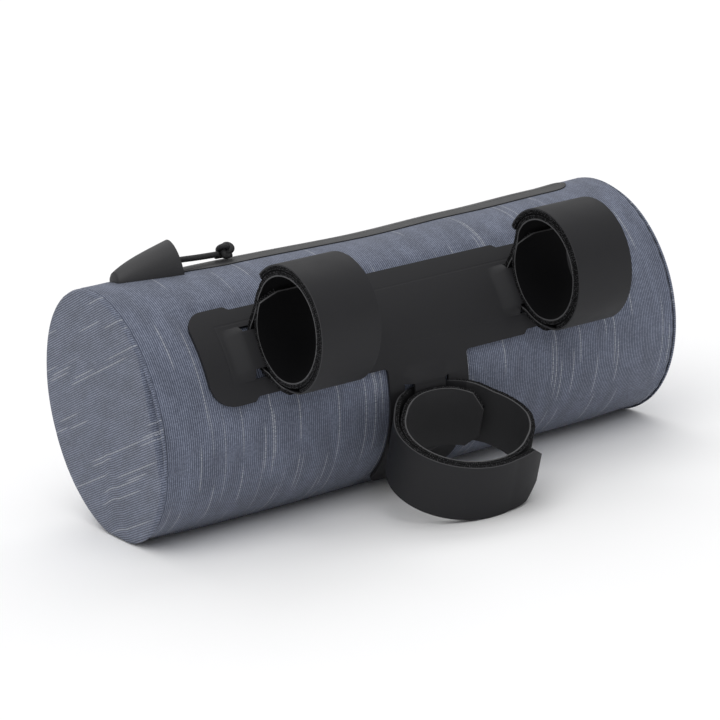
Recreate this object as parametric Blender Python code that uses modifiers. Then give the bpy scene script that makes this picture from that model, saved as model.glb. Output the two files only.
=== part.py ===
"""Bicycle handlebar bag: a zipped fabric roll with a strap plate on its front.

Metres, +Z up, straps towards -Y. Lengths are along the bag's axis (X), angles are about that axis,
from the straps' side (-Y) up towards +Z, in the bag's own frame. The bag rolls forward on the floor
until the rim of its third strap loop rests there too.
"""

import math
from collections import namedtuple

import bmesh
import bpy
from mathutils import Matrix, Vector

MM = 0.001

# Bag body
BAG_RADIUS = 50 * MM
BAG_LENGTH = 240.6 * MM
FABRIC_WALL = 2.0 * MM
BODY_SIDES = 60
RING_SPACING = 24 * MM
SEAM_DIP = 0.8 * MM
SEAM_DIP_REACH = 7 * MM
REST_SAG = 0.4 * MM
LOW_SEAM_ANGLE = math.radians(-58)
FOLD_BULGE = 1.0 * MM
FOLD_WIDTH = math.radians(8)
FOLD_LENGTH = 45 * MM
END_EDGE_ROUND = 0.9 * MM

# Sag of the fabric under the zip: places are shares of half the bag's length, depths of the deepest
ZIP_DENT = 3.0 * MM
ZIP_DENT_ANGLE = math.radians(107)
ZIP_DENT_WIDTH = math.radians(24)
DentRow = namedtuple("DentRow", "place depth")
ZIP_DENT_ROWS = [DentRow(-0.88, 0.0), DentRow(-0.62, 0.5), DentRow(-0.42, 0.5), DentRow(0.02, 1.0),
                 DentRow(0.42, 0.73), DentRow(0.78, 0.38), DentRow(0.93, 0.0)]

# Clearance between touching pieces
GAP = 0.3 * MM

# Zip, its ends set in from the bag's ends
ZIP_ANGLE = math.radians(105)
ZIP_RIGHT_INSET = 14.9 * MM
ZIP_LEFT_INSET = 19.3 * MM
ZIP_RIGHT_END = BAG_LENGTH / 2 - ZIP_RIGHT_INSET
ZIP_LEFT_END = ZIP_LEFT_INSET - BAG_LENGTH / 2
ZIP_TAPE_THICKNESS = 1.0 * MM
ZIP_TAPE_WIDTH = 20 * MM
ZIP_HIDDEN_WIDTH = 7 * MM
ZIP_OPENING_WIDTH = 6 * MM
ZIP_OPENING_INSET = 4 * MM
SLIDER_LENGTH = 9 * MM
SLIDER_WIDTH = 5 * MM
SLIDER_BASE = 1.2 * MM
SLIDER_HEIGHT = 3.4 * MM
SLIDER_BAIL = 3.6 * MM

# Moulded hood over the zip's closed end, and the slider's place behind its tip
GARAGE_INSET = 13.6 * MM
GARAGE_TIP_X = GARAGE_INSET - BAG_LENGTH / 2
SLIDER_INSET = 12 * MM
SLIDER_X = GARAGE_TIP_X + SLIDER_INSET
GARAGE_LENGTH = 27.2 * MM
GARAGE_HEIGHT = 13 * MM
GARAGE_WIDTH = 15 * MM
GARAGE_WALL = 1.2 * MM
GARAGE_RAKE = 1.6 * MM
GARAGE_SIDES = 24

# Pull cord with its knot, which lies this far beyond the slider
CORD_DIAMETER = 2.4 * MM
KNOT_REACH = 37.8 * MM
KNOT_X = SLIDER_X + KNOT_REACH
KNOT_SIZE = (6.6 * MM, 7.2 * MM, 6.8 * MM)

# T-shaped strap plate
PLATE_THICKNESS = 1.2 * MM
PLATE_X = -2.5 * MM
WING_HALF_LENGTH = 94.2 * MM
WING_TOP_ANGLE = math.radians(62.6)
WING_BOTTOM_ANGLE = math.radians(18)
WING_TOP_CORNER = 8 * MM
WING_BOTTOM_CORNER = 10 * MM
NOTCH_DEPTH = 1.8 * MM
STEM_HALF_WIDTH = 18.2 * MM
STEM_END_ANGLE = math.radians(-58)
STEM_CORNER = 15 * MM
SMALL_CORNER = 1.5 * MM
PLATE_STEP_ANGLE = math.radians(5)

# Strap slots and the bridges between them
SLOT_SPACING = 17.2 * MM
SLOT_OPENING = 3.2 * MM
SLOT_LENGTH = 28.8 * MM
BRIDGE_RAMP = 3.4 * MM

# Straps
STRAP_WIDTH = 25 * MM
STRAP_THICKNESS = 2.2 * MM
STRAP_CHAMFER = 6 * MM
STRAP_STEP = math.radians(12)
STRAP_SLOT_STEP = math.radians(3.6)
STRAP_SLOT_ZONE = math.radians(36)
STRAP_HUG_START = 6.2 * MM
STRAP_HUG_END = 11.7 * MM
STRAP_STRAIGHTEN = 12 * MM
LAYER_PITCH = STRAP_THICKNESS + GAP

# Loops: where the slots and the strap sit along the bag, the seat's angle, how far the loop droops
# below it, its outer depth (away from the bag) and span (across), and where the strap's ends stop
# as angles round the loop from its back.
Loop = namedtuple("Loop", "name slot_x strap_x seat droop depth span inner_end outer_end flare girth")
BAR_SEAT = math.radians(39.3)
BAR_SLOT_SPACING = 60.5 * MM
BAR_STRAP_DRIFT = 1.6 * MM
BAR_DROOP = math.radians(-3.0)
LEFT_LOOP_DEPTH = 57.4 * MM
RIGHT_LOOP_DEPTH = 50.8 * MM
BAR_LOOP_SPAN = 49 * MM
BAR_INNER_END = math.radians(-70)
TUBE_SEAT = math.radians(-7.1)
TUBE_DROOP = math.radians(-6.2)
TUBE_X = PLATE_X - 1.4 * MM
TUBE_LOOP_DEPTH = 54.1 * MM
TUBE_LOOP_SPAN = 54.8 * MM
TUBE_INNER_END = math.radians(-52)
TUBE_OUTER_END = math.radians(360 + 227)
TUBE_END_FLARE = 2.6 * MM
EASE_OUT_ANGLE = math.radians(38)

SHEET_RADIUS = BAG_RADIUS + GAP
BEHIND_RADIUS = SHEET_RADIUS + STRAP_THICKNESS / 2
BRIDGE_LIFT = STRAP_THICKNESS + 1.8 * GAP
TONGUE_INSET = BRIDGE_LIFT + PLATE_THICKNESS + GAP

BarStrap = namedtuple("BarStrap", "side sign depth outer_end")
BAR_STRAPS = [BarStrap("left", -1, LEFT_LOOP_DEPTH, math.radians(360 + 296)),
              BarStrap("right", 1, RIGHT_LOOP_DEPTH, math.radians(360 + 311))]
BAR_LOOPS = [
    Loop("bar_strap_" + bar.side, PLATE_X + bar.sign * BAR_SLOT_SPACING,
         PLATE_X + bar.sign * (BAR_SLOT_SPACING - BAR_STRAP_DRIFT), BAR_SEAT, BAR_DROOP, bar.depth,
         BAR_LOOP_SPAN, BAR_INNER_END, bar.outer_end, 0.0, True)
    for bar in BAR_STRAPS
]
TUBE_LOOP = Loop("tube_strap", TUBE_X, TUBE_X, TUBE_SEAT, TUBE_DROOP, TUBE_LOOP_DEPTH,
                 TUBE_LOOP_SPAN, TUBE_INNER_END, TUBE_OUTER_END, TUBE_END_FLARE, False)
LOOPS = BAR_LOOPS + [TUBE_LOOP]

# Colours (linear) and roughness
SLATE_FABRIC = (0.125, 0.140, 0.185, 1.0)
BLACK_PLATE = (0.026, 0.026, 0.029, 1.0)
BLACK_STRAP = (0.034, 0.034, 0.037, 1.0)
BLACK_RUBBER = (0.040, 0.040, 0.043, 1.0)
BLACK_CORD = (0.012, 0.012, 0.013, 1.0)


def smoothstep(value, start, end):
    """0 before start, 1 after end, smooth between."""
    share = min(max((value - start) / (end - start), 0.0), 1.0)
    return share * share * (3 - 2 * share)


def direction(angle):
    """Unit vector away from the bag's axis at an angle."""
    return Vector((0, -math.cos(angle), math.sin(angle)))


def along_girth(angle):
    """Unit vector round the bag, towards larger angles."""
    return Vector((0, math.sin(angle), math.cos(angle)))


def bag_point(x, angle, radius):
    return Vector((x, 0, 0)) + direction(angle) * radius


def angle_of(point):
    return math.atan2(point.z, -point.y)


def rest_roll():
    """How far the bag rolls forward before its third loop's lower rim meets the floor."""
    lean = TUBE_SEAT + TUBE_DROOP
    rim = (direction(TUBE_SEAT) * BEHIND_RADIUS
           + direction(lean) * (TUBE_LOOP_DEPTH - STRAP_THICKNESS / 2)
           - along_girth(lean) * (STRAP_WIDTH / 2))
    floor = BAG_RADIUS - REST_SAG
    return -math.asin(floor / rim.length) - angle_of(rim)


REST_ROLL = rest_roll()
FLOOR_ANGLE = -math.pi / 2 - REST_ROLL


def zip_dent(x):
    """Depth of the sag under the zip, smooth between its table's rows."""
    share = x / (BAG_LENGTH / 2)
    for start, stop in zip(ZIP_DENT_ROWS, ZIP_DENT_ROWS[1:]):
        if start.place <= share <= stop.place:
            mix = smoothstep(share, start.place, stop.place)
            return ZIP_DENT * (start.depth + (stop.depth - start.depth) * mix)
    return 0.0


def fabric_radius(x, angle):
    """The soft fabric's distance from the bag's axis."""
    from_end = max(BAG_LENGTH / 2 - abs(x), 0.0) / SEAM_DIP_REACH
    dip = SEAM_DIP * from_end * math.exp(1 - from_end)
    fold = (angle - (LOW_SEAM_ANGLE - FOLD_WIDTH)) / FOLD_WIDTH
    from_left = (x + BAG_LENGTH / 2) / FOLD_LENGTH
    fold_share = from_left * math.exp(1 - from_left) if from_left > 0 else 0.0
    sag = (angle - ZIP_DENT_ANGLE) / ZIP_DENT_WIDTH
    radius = (BAG_RADIUS - dip + FOLD_BULGE * fold_share * math.exp(-fold * fold)
              - zip_dent(x) * math.exp(-sag * sag))
    above_floor = math.cos(angle - FLOOR_ANGLE)
    if above_floor > 0:
        radius = min(radius, (BAG_RADIUS - REST_SAG) / above_floor)
    return radius


def fabric_point(point):
    """Moves a point of the plain cylinder onto the fabric's own outline."""
    angle = angle_of(point)
    return bag_point(point.x, angle, fabric_radius(point.x, angle))


def tape_top(x):
    """Radius of the zip strip's outer face."""
    return fabric_radius(x, ZIP_ANGLE) + GAP + ZIP_TAPE_THICKNESS


def empty_scene():
    for thing in list(bpy.data.objects):
        bpy.data.objects.remove(thing)


def new_collection(name):
    collection = bpy.data.collections.new(name)
    bpy.context.scene.collection.children.link(collection)
    return collection


def material(name, colour, roughness):
    finish = bpy.data.materials.new(name)
    finish.use_nodes = True
    shader = finish.node_tree.nodes["Principled BSDF"]
    shader.inputs["Base Color"].default_value = colour
    shader.inputs["Roughness"].default_value = roughness
    shader.inputs["Metallic"].default_value = 0.0
    return finish


def add_piece(name, data, colour, roughness):
    """Links one named sub-part under the bag's frame."""
    piece = bpy.data.objects.new(name, data)
    parts.objects.link(piece)
    piece.parent = bag_frame
    data.materials.append(material(name + "_finish", colour, roughness))
    return piece


def mesh_from(shape, name):
    """Turns a finished bmesh into mesh data."""
    mesh = bpy.data.meshes.new(name)
    shape.to_mesh(mesh)
    shape.free()
    return mesh


def cut_at(shape, point, normal, drop_outer=False):
    geometry = shape.verts[:] + shape.edges[:] + shape.faces[:]
    bmesh.ops.bisect_plane(shape, geom=geometry, plane_co=point, plane_no=normal,
                           clear_outer=drop_outer, dist=1e-6)


def solidify(piece, thickness, offset):
    wall = piece.modifiers.new("wall", 'SOLIDIFY')
    wall.thickness = thickness
    wall.offset = offset
    wall.use_even_offset = True
    return wall


def lay_along_x(shape):
    turn = Matrix.Rotation(math.pi / 2, 3, 'Y')
    bmesh.ops.rotate(shape, verts=shape.verts, cent=(0, 0, 0), matrix=turn)


def body_rings():
    """Places along the bag of the body's cross lines: close by the end seams, even between."""
    half = BAG_LENGTH / 2 - FABRIC_WALL - GAP
    near_seam = [SEAM_DIP_REACH * share for share in (0.5, 1.0, 1.7, 3.0)]
    regular_from = half - RING_SPACING
    count = int(2 * regular_from // RING_SPACING)
    rings = [sign * (half - inset) for inset in near_seam for sign in (-1, 1)]
    return rings + [-regular_from + 2 * regular_from * step / count for step in range(count + 1)]


def body_panel():
    """The fabric tube between the two end discs, with the zip's opening cut along it."""
    length = BAG_LENGTH - 2 * (FABRIC_WALL + GAP)
    shape = bmesh.new()
    bmesh.ops.create_cone(shape, cap_ends=False, segments=BODY_SIDES, radius1=BAG_RADIUS,
                          radius2=BAG_RADIUS, depth=length)
    lay_along_x(shape)
    for x in body_rings():
        cut_at(shape, (x, 0, 0), (1, 0, 0))
    for vertex in shape.verts:
        vertex.co = fabric_point(vertex.co)
    body = add_piece("body_panel", mesh_from(shape, "body_panel"), SLATE_FABRIC, 0.75)
    solidify(body, FABRIC_WALL, -1)
    opening = body.modifiers.new("zip_opening", 'BOOLEAN')
    opening.operation = 'DIFFERENCE'
    opening.object = zip_opening_cutter()
    return body


def zip_opening_cutter():
    left = ZIP_LEFT_END + ZIP_OPENING_INSET
    right = ZIP_RIGHT_END - ZIP_TAPE_WIDTH / 2
    shape = bmesh.new()
    bmesh.ops.create_cube(shape, size=1)
    size = (right - left, ZIP_OPENING_WIDTH, 6 * FABRIC_WALL)
    bmesh.ops.scale(shape, verts=shape.verts, vec=size)
    corners = [edge for edge in shape.edges if abs(edge.verts[0].co.z - edge.verts[1].co.z) > FABRIC_WALL]
    bmesh.ops.bevel(shape, geom=corners, offset=ZIP_OPENING_WIDTH * 0.45, segments=3, profile=0.5,
                    affect='EDGES')
    cutter = bpy.data.objects.new("zip_opening_cutter", mesh_from(shape, "zip_opening_cutter"))
    cutters.objects.link(cutter)
    cutter.parent = bag_frame
    cutter.location = bag_point((left + right) / 2, ZIP_ANGLE, BAG_RADIUS)
    cutter.rotation_euler = (math.pi / 2 - ZIP_ANGLE, 0, 0)
    cutter.hide_render = True
    cutter.display_type = 'WIRE'
    return cutter


def end_panel(side, sign):
    """A flat fabric disc, its outer edge turned over softly."""
    shape = bmesh.new()
    bmesh.ops.create_cone(shape, cap_ends=True, segments=BODY_SIDES, radius1=BAG_RADIUS,
                          radius2=BAG_RADIUS, depth=FABRIC_WALL)
    lay_along_x(shape)
    centre_x = sign * (BAG_LENGTH - FABRIC_WALL) / 2
    bmesh.ops.translate(shape, verts=shape.verts, vec=(centre_x, 0, 0))
    for vertex in shape.verts:
        angle = angle_of(vertex.co)
        vertex.co = bag_point(vertex.co.x, angle, fabric_radius(sign * BAG_LENGTH / 2, angle))
    rim = [edge for edge in shape.edges
           if all(vertex.co.x * sign > centre_x * sign for vertex in edge.verts)]
    bmesh.ops.bevel(shape, geom=rim, offset=END_EDGE_ROUND, segments=2, profile=0.5, affect='EDGES')
    name = "end_panel_" + side
    return add_piece(name, mesh_from(shape, name), SLATE_FABRIC, 0.75)


def rounded_outline(corners):
    """Points of a flat outline, each corner given as (x, girth, radius) and turned on an arc."""
    points = []
    count = len(corners)
    for place, (x, girth, radius) in enumerate(corners):
        here = Vector((x, girth))
        if radius <= 0:
            points.append(here)
            continue
        back = (Vector(corners[place - 1][:2]) - here).normalized()
        ahead = (Vector(corners[(place + 1) % count][:2]) - here).normalized()
        half = back.angle(ahead) / 2
        reach = radius / math.tan(half)
        centre = here + (back + ahead).normalized() * (radius / math.sin(half))
        start = here + back * reach - centre
        turn = start.angle_signed(here + ahead * reach - centre)
        steps = 2 if radius <= SMALL_CORNER else 6
        for step in range(steps + 1):
            spin = Matrix.Rotation(-turn * step / steps, 2)
            points.append(centre + spin @ start)
    return points


def wrapped_sheet(name, outlines, cuts_x, cuts_girth, radius_at, thickness, colour, roughness):
    """A flat sheet with holes, wrapped on the bag; girth is length round the bag's surface."""
    shape = bmesh.new()
    for outline in outlines:
        ring = [shape.verts.new((point.x, point.y, 0)) for point in outline]
        for place, vertex in enumerate(ring):
            shape.edges.new((vertex, ring[(place + 1) % len(ring)]))
    bmesh.ops.triangle_fill(shape, use_beauty=True, use_dissolve=False, edges=shape.edges[:])
    bmesh.ops.dissolve_limit(shape, angle_limit=math.radians(1), verts=shape.verts, edges=shape.edges)
    for x in cuts_x:
        cut_at(shape, (x, 0, 0), (1, 0, 0))
    for girth in cuts_girth:
        cut_at(shape, (0, girth, 0), (0, 1, 0))
    shape.normal_update()
    turned = [face for face in shape.faces if face.normal.z < 0]
    bmesh.ops.reverse_faces(shape, faces=turned)
    for vertex in shape.verts:
        angle = vertex.co.y / BAG_RADIUS
        vertex.co = bag_point(vertex.co.x, angle, radius_at(vertex.co.x, angle))
    sheet = add_piece(name, mesh_from(shape, name), colour, roughness)
    solidify(sheet, thickness, 1)
    return sheet


def zip_tape(side, sign):
    """Half of the zip strip: narrow under the hood, wide beyond it, round at the right end."""
    middle = ZIP_ANGLE * BAG_RADIUS
    inner = middle + sign * GAP / 2
    outer = middle + sign * ZIP_TAPE_WIDTH / 2
    hidden = middle + sign * ZIP_HIDDEN_WIDTH / 2
    mouth = GARAGE_TIP_X + GARAGE_LENGTH + GAP
    corners = [
        (ZIP_LEFT_END, inner, 0),
        (ZIP_RIGHT_END, inner, 0),
        (ZIP_RIGHT_END, outer, ZIP_TAPE_WIDTH / 2 - GAP),
        (mouth, outer, SMALL_CORNER),
        (mouth, hidden, 0),
        (ZIP_LEFT_END, hidden, 0),
    ]
    if sign < 0:
        corners.reverse()
    rows = [middle + sign * ZIP_TAPE_WIDTH * share for share in (0.125, 0.25, 0.375)]
    return wrapped_sheet("zip_tape_" + side, [rounded_outline(corners)], body_rings(), rows,
                         lambda x, angle: fabric_radius(x, angle) + GAP, ZIP_TAPE_THICKNESS,
                         BLACK_RUBBER, 0.5)


def zip_slider():
    """A plain slider body with its bail, seen from the side and given its width."""
    half = SLIDER_LENGTH / 2
    bail = SLIDER_BAIL / 2
    profile = [(-half, 0), (half, 0), (half, SLIDER_BASE), (bail, SLIDER_BASE), (bail, SLIDER_HEIGHT),
               (-bail, SLIDER_HEIGHT), (-bail, SLIDER_BASE), (-half, SLIDER_BASE)]
    outline = bpy.data.curves.new("zip_slider", 'CURVE')
    outline.dimensions = '2D'
    outline.fill_mode = 'BOTH'
    outline.extrude = SLIDER_WIDTH / 2
    spline = outline.splines.new('POLY')
    spline.points.add(len(profile) - 1)
    for point, (x, height) in zip(spline.points, profile):
        point.co = (x, height, 0, 1)
    spline.use_cyclic_u = True
    slider = add_piece("zip_slider", outline, BLACK_CORD, 0.4)
    slider.location = bag_point(SLIDER_X, ZIP_ANGLE, tape_top(SLIDER_X) + 1.5 * GAP)
    slider.rotation_euler = (math.pi - ZIP_ANGLE, 0, 0)
    return slider


def hood_solid(name, inset, overrun):
    """D-section loft of the hood; the inset one is its hollow, run out of the mouth and the base."""
    shape = bmesh.new()
    bmesh.ops.create_cone(shape, cap_ends=True, segments=GARAGE_SIDES, radius1=1, radius2=1, depth=1)
    bmesh.ops.translate(shape, verts=shape.verts, vec=(0, 0, 0.5))
    for share in (0.04, 0.12, 0.26, 0.45, 0.7):
        cut_at(shape, (0, 0, share), (0, 0, 1))
    length = GARAGE_LENGTH - inset + overrun
    for vertex in shape.verts:
        share = (inset + vertex.co.z * length) / GARAGE_LENGTH
        half_width = GARAGE_WIDTH / 2 * (0.03 + 0.97 * share) ** 0.2 - inset
        height = GARAGE_HEIGHT * (0.02 + 0.98 * share) ** 0.55 - inset
        above = height * max(vertex.co.y, 0.0) if vertex.co.y > -0.01 else -overrun
        x = GARAGE_TIP_X + share * GARAGE_LENGTH - GARAGE_RAKE * share * max(above, 0) / GARAGE_HEIGHT
        angle = ZIP_ANGLE - half_width * vertex.co.x / BAG_RADIUS
        vertex.co = bag_point(x, angle, fabric_radius(x, angle) + GAP + above)
    if shape.calc_volume(signed=True) < 0:
        bmesh.ops.reverse_faces(shape, faces=shape.faces)
    return mesh_from(shape, name)


def zip_garage():
    """The moulded hood: hollow, with an open mouth towards the zip."""
    hood = add_piece("zip_garage", hood_solid("zip_garage", 0.0, 0.0), BLACK_RUBBER, 0.6)
    hollow = bpy.data.objects.new("hood_hollow", hood_solid("hood_hollow", GARAGE_WALL, 5 * GARAGE_WALL))
    cutters.objects.link(hollow)
    hollow.parent = bag_frame
    hollow.hide_render = True
    hollow.display_type = 'WIRE'
    cut = hood.modifiers.new("hollow", 'BOOLEAN')
    cut.operation = 'DIFFERENCE'
    cut.object = hollow
    return hood


def smooth_route(points, steps):
    """Points along a smooth curve through the given ones."""
    route = []
    ends = [points[0] * 2 - points[1]] + points + [points[-1] * 2 - points[-2]]
    for before, start, stop, after in zip(ends, ends[1:], ends[2:], ends[3:]):
        for step in range(steps):
            share = step / steps
            route.append(0.5 * (2 * start + (stop - before) * share
                                + (2 * before - 5 * start + 4 * stop - after) * share ** 2
                                + (3 * start - before - 3 * stop + after) * share ** 3))
    route.append(points[-1])
    return route


# The cord's route in millimetres: how far beyond the slider, and height above the zip tape
CORD_ROUTE = [(2.1, 3.1), (8.7, 3.6), (16.7, 3.85), (24.7, 3.3), (30.7, 2.95), (34.2, 2.8)]


def pull_cord():
    stations = [(SLIDER_X + beyond * MM, height * MM) for beyond, height in CORD_ROUTE]
    places = [bag_point(x, ZIP_ANGLE, tape_top(x) + height) for x, height in stations]
    route = smooth_route(places, 2)
    curve = bpy.data.curves.new("pull_cord", 'CURVE')
    curve.dimensions = '3D'
    curve.bevel_depth = CORD_DIAMETER / 2
    curve.bevel_resolution = 2
    curve.use_fill_caps = True
    spline = curve.splines.new('POLY')
    spline.points.add(len(route) - 1)
    for point, place in zip(spline.points, route):
        point.co = (*place, 1)
    return add_piece("pull_cord", curve, BLACK_CORD, 0.8)


def pull_knot():
    """The knot's outer form, resting on the zip tape."""
    shape = bmesh.new()
    bmesh.ops.create_icosphere(shape, subdivisions=2, radius=0.5)
    bmesh.ops.scale(shape, verts=shape.verts, vec=KNOT_SIZE)
    knot = add_piece("pull_knot", mesh_from(shape, "pull_knot"), BLACK_CORD, 0.8)
    knot.location = bag_point(KNOT_X, ZIP_ANGLE, tape_top(KNOT_X) + GAP + KNOT_SIZE[2] / 2)
    knot.rotation_euler = (math.pi / 2 - ZIP_ANGLE, 0, 0)
    return knot


def plate_outline():
    """The T's corners, from the middle of the top edge round to the right, then mirrored."""
    top = WING_TOP_ANGLE * BAG_RADIUS
    bottom = WING_BOTTOM_ANGLE * BAG_RADIUS
    stem_end = STEM_END_ANGLE * BAG_RADIUS
    notch_in = BAR_SLOT_SPACING - SLOT_LENGTH / 2
    notch_out = BAR_SLOT_SPACING + SLOT_LENGTH / 2
    right = [
        (notch_in, top, 0),
        (notch_in + NOTCH_DEPTH, top - NOTCH_DEPTH, 0),
        (notch_out, top - NOTCH_DEPTH, 0),
        (notch_out + NOTCH_DEPTH, top, 0),
        (WING_HALF_LENGTH, top, WING_TOP_CORNER),
        (WING_HALF_LENGTH, bottom, WING_BOTTOM_CORNER),
        (notch_out + NOTCH_DEPTH, bottom, 0),
        (notch_out, bottom + NOTCH_DEPTH, 0),
        (notch_in + NOTCH_DEPTH, bottom + NOTCH_DEPTH, 0),
        (notch_in, bottom, 0),
        (STEM_HALF_WIDTH, bottom, SMALL_CORNER),
        (STEM_HALF_WIDTH, stem_end, STEM_CORNER),
    ]
    left = [(-x, girth, radius) for x, girth, radius in reversed(right)]
    return [point + Vector((PLATE_X, 0)) for point in rounded_outline(right + left)]


def slot_outlines(loop):
    """The two slots of one strap, across its direction of travel."""
    slots = []
    for sign in (-1, 1):
        run = [sign * SLOT_SPACING / 2 + side * SLOT_OPENING / 2 for side in (-1, 1, 1, -1)]
        width = [side * SLOT_LENGTH / 2 for side in (-1, -1, 1, 1)]
        middle = Vector((loop.slot_x, loop.seat * BAG_RADIUS))
        if loop.girth:
            slots.append([middle + Vector((across, along)) for along, across in zip(run, width)])
        else:
            slots.append([middle + Vector((along, across)) for along, across in zip(run, width)])
    return slots


def bridge_share(loop, x, angle):
    """1 on the bridge that the strap passes behind, 0 away from it."""
    along = (angle - loop.seat) * BAG_RADIUS
    across = x - loop.slot_x
    if not loop.girth:
        along, across = across, along
    run = smoothstep(abs(along), (SLOT_SPACING - SLOT_OPENING) / 2, (SLOT_SPACING + SLOT_OPENING) / 2)
    width = smoothstep(abs(across), STRAP_WIDTH / 2 + BAR_STRAP_DRIFT + GAP,
                       SLOT_LENGTH / 2 + BRIDGE_RAMP)
    return (1 - run) * (1 - width)


def plate_radius(x, angle):
    return SHEET_RADIUS + BRIDGE_LIFT * max(bridge_share(loop, x, angle) for loop in LOOPS)


def mount_plate():
    run_cuts = [sign * (SLOT_SPACING + side * SLOT_OPENING) / 2 for sign in (-1, 1) for side in (-1, 1)]
    width_edges = [STRAP_WIDTH / 2 + BAR_STRAP_DRIFT + GAP, SLOT_LENGTH / 2 + BRIDGE_RAMP / 2,
                   SLOT_LENGTH / 2 + BRIDGE_RAMP]
    width_cuts = [sign * edge for edge in width_edges for sign in (-1, 1)]
    cuts_x = [loop.slot_x + cut for loop in BAR_LOOPS for cut in width_cuts]
    cuts_x += [TUBE_X + cut for cut in run_cuts]
    cuts_girth = [BAR_SEAT * BAG_RADIUS + cut for cut in run_cuts]
    cuts_girth += [TUBE_SEAT * BAG_RADIUS + cut for cut in width_cuts]
    steps = int((WING_TOP_ANGLE - STEM_END_ANGLE) / PLATE_STEP_ANGLE)
    cuts_girth += [(STEM_END_ANGLE + PLATE_STEP_ANGLE * (step + 0.5)) * BAG_RADIUS
                   for step in range(steps)]
    outlines = [plate_outline()]
    for loop in LOOPS:
        outlines += slot_outlines(loop)
    return wrapped_sheet("mount_plate", outlines, cuts_x, cuts_girth, plate_radius,
                         PLATE_THICKNESS, BLACK_PLATE, 0.6)


def layer_inset(loop, turn):
    """How far inside the loop's outer layer the strap lies at an angle round the loop."""
    covered_to = loop.outer_end - 2 * math.pi
    table = [
        (loop.inner_end, TONGUE_INSET + LAYER_PITCH * 0.4),
        (0.0, TONGUE_INSET),
        (math.radians(90), LAYER_PITCH),
        (covered_to, LAYER_PITCH),
        (covered_to + EASE_OUT_ANGLE, 0.0),
        (loop.outer_end - math.radians(32), 0.0),
        (loop.outer_end, -loop.flare),
    ]
    for (start, inset), (stop, next_inset) in zip(table, table[1:]):
        if turn <= stop:
            share = (turn - start) / (stop - start)
            return inset + (next_inset - inset) * share
    return table[-1][1]


def strap_point(loop, turn, across):
    """A point of the strap's middle surface, across its width, at an angle round the loop."""
    inset = layer_inset(loop, turn)
    half_depth = (loop.depth - STRAP_THICKNESS) / 2
    half_span = (loop.span - STRAP_THICKNESS) / 2
    out = BEHIND_RADIUS + half_depth - (half_depth - inset) * math.cos(turn)
    side = -(half_span - inset) * math.sin(turn)
    if abs(turn - 2 * math.pi) < math.pi / 2:
        seat = math.sqrt(BEHIND_RADIUS ** 2 - side ** 2) if loop.girth else BEHIND_RADIUS
        out = seat + (out - seat) * smoothstep(abs(side), STRAP_HUG_START, STRAP_HUG_END)
    lean = loop.seat + loop.droop
    share = smoothstep(out - BEHIND_RADIUS, 0, STRAP_STRAIGHTEN)
    beyond = direction(loop.seat) * BEHIND_RADIUS + direction(lean) * (out - BEHIND_RADIUS)
    if loop.girth:
        level = direction(loop.seat) * out + along_girth(loop.seat) * side
        drooped = beyond + along_girth(lean) * side
        return Vector((loop.strap_x + across, 0, 0)) + level.lerp(drooped, share)
    curved = bag_point(0, loop.seat + across / BEHIND_RADIUS, out)
    return Vector((loop.strap_x + side, 0, 0)) + curved.lerp(beyond + along_girth(lean) * across, share)


def strap_turns(loop):
    """Angles of the strap's cross lines: coarse on the open loop, fine where it passes the slots."""
    zone = (2 * math.pi - STRAP_SLOT_ZONE, 2 * math.pi + STRAP_SLOT_ZONE)
    turns = [loop.inner_end]
    step = math.ceil(loop.inner_end / STRAP_STEP + 0.3)
    while step * STRAP_STEP < zone[0] - 1e-6:
        turns.append(step * STRAP_STEP)
        step += 1
    fine = round(2 * STRAP_SLOT_ZONE / STRAP_SLOT_STEP)
    turns += [zone[0] + (zone[1] - zone[0]) * place / fine for place in range(fine + 1)]
    step = round(zone[1] / STRAP_STEP) + 1
    while step * STRAP_STEP < loop.outer_end - STRAP_STEP * 0.3:
        turns.append(step * STRAP_STEP)
        step += 1
    return turns + [loop.outer_end]


def strap(loop):
    """One strap: inner layer, behind the plate's bridge, outer layer, with chamfered ends."""
    turns = strap_turns(loop)
    strips = 1 if loop.girth else 3
    mean_radius = (loop.depth + loop.span) / 4 - LAYER_PITCH
    shape = bmesh.new()
    bmesh.ops.create_grid(shape, x_segments=len(turns) - 1, y_segments=strips, size=0.5)
    for vertex in shape.verts:
        place = round((vertex.co.x + 0.5) * (len(turns) - 1))
        vertex.co = (turns[place] * mean_radius, vertex.co.y * STRAP_WIDTH, 0)
    ends = ((loop.inner_end * mean_radius, -1), (loop.outer_end * mean_radius, 1))
    for end, outward in ends:
        for side in (-1, 1):
            corner = (end - outward * STRAP_CHAMFER, side * STRAP_WIDTH / 2, 0)
            cut_at(shape, corner, (outward, side, 0), drop_outer=True)
    for vertex in shape.verts:
        vertex.co = strap_point(loop, vertex.co.x / mean_radius, vertex.co.y)
    piece = add_piece(loop.name, mesh_from(shape, loop.name), BLACK_STRAP, 0.7)
    solidify(piece, STRAP_THICKNESS, 0)
    return piece


def shade_round_pieces():
    for piece in parts.objects:
        if piece.type == 'MESH':
            piece.data.shade_smooth()
            piece.data.set_sharp_from_angle(angle=math.radians(35))


def place_on_floor():
    """Rolls the bag onto its strap loop and puts the origin under the middle of its box."""
    bag_frame.rotation_euler = (-REST_ROLL, 0, 0)
    bpy.context.view_layer.update()
    graph = bpy.context.evaluated_depsgraph_get()
    lowest = Vector((math.inf,) * 3)
    highest = Vector((-math.inf,) * 3)
    for piece in parts.objects:
        if piece.type == 'EMPTY':
            continue
        solid = piece.evaluated_get(graph)
        mesh = solid.to_mesh()
        for vertex in mesh.vertices:
            place = solid.matrix_world @ vertex.co
            lowest = Vector(map(min, lowest, place))
            highest = Vector(map(max, highest, place))
        solid.to_mesh_clear()
    middle = (lowest + highest) / 2
    bag_frame.location = (-middle.x, -middle.y, -lowest.z)
    bpy.context.view_layer.update()


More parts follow.
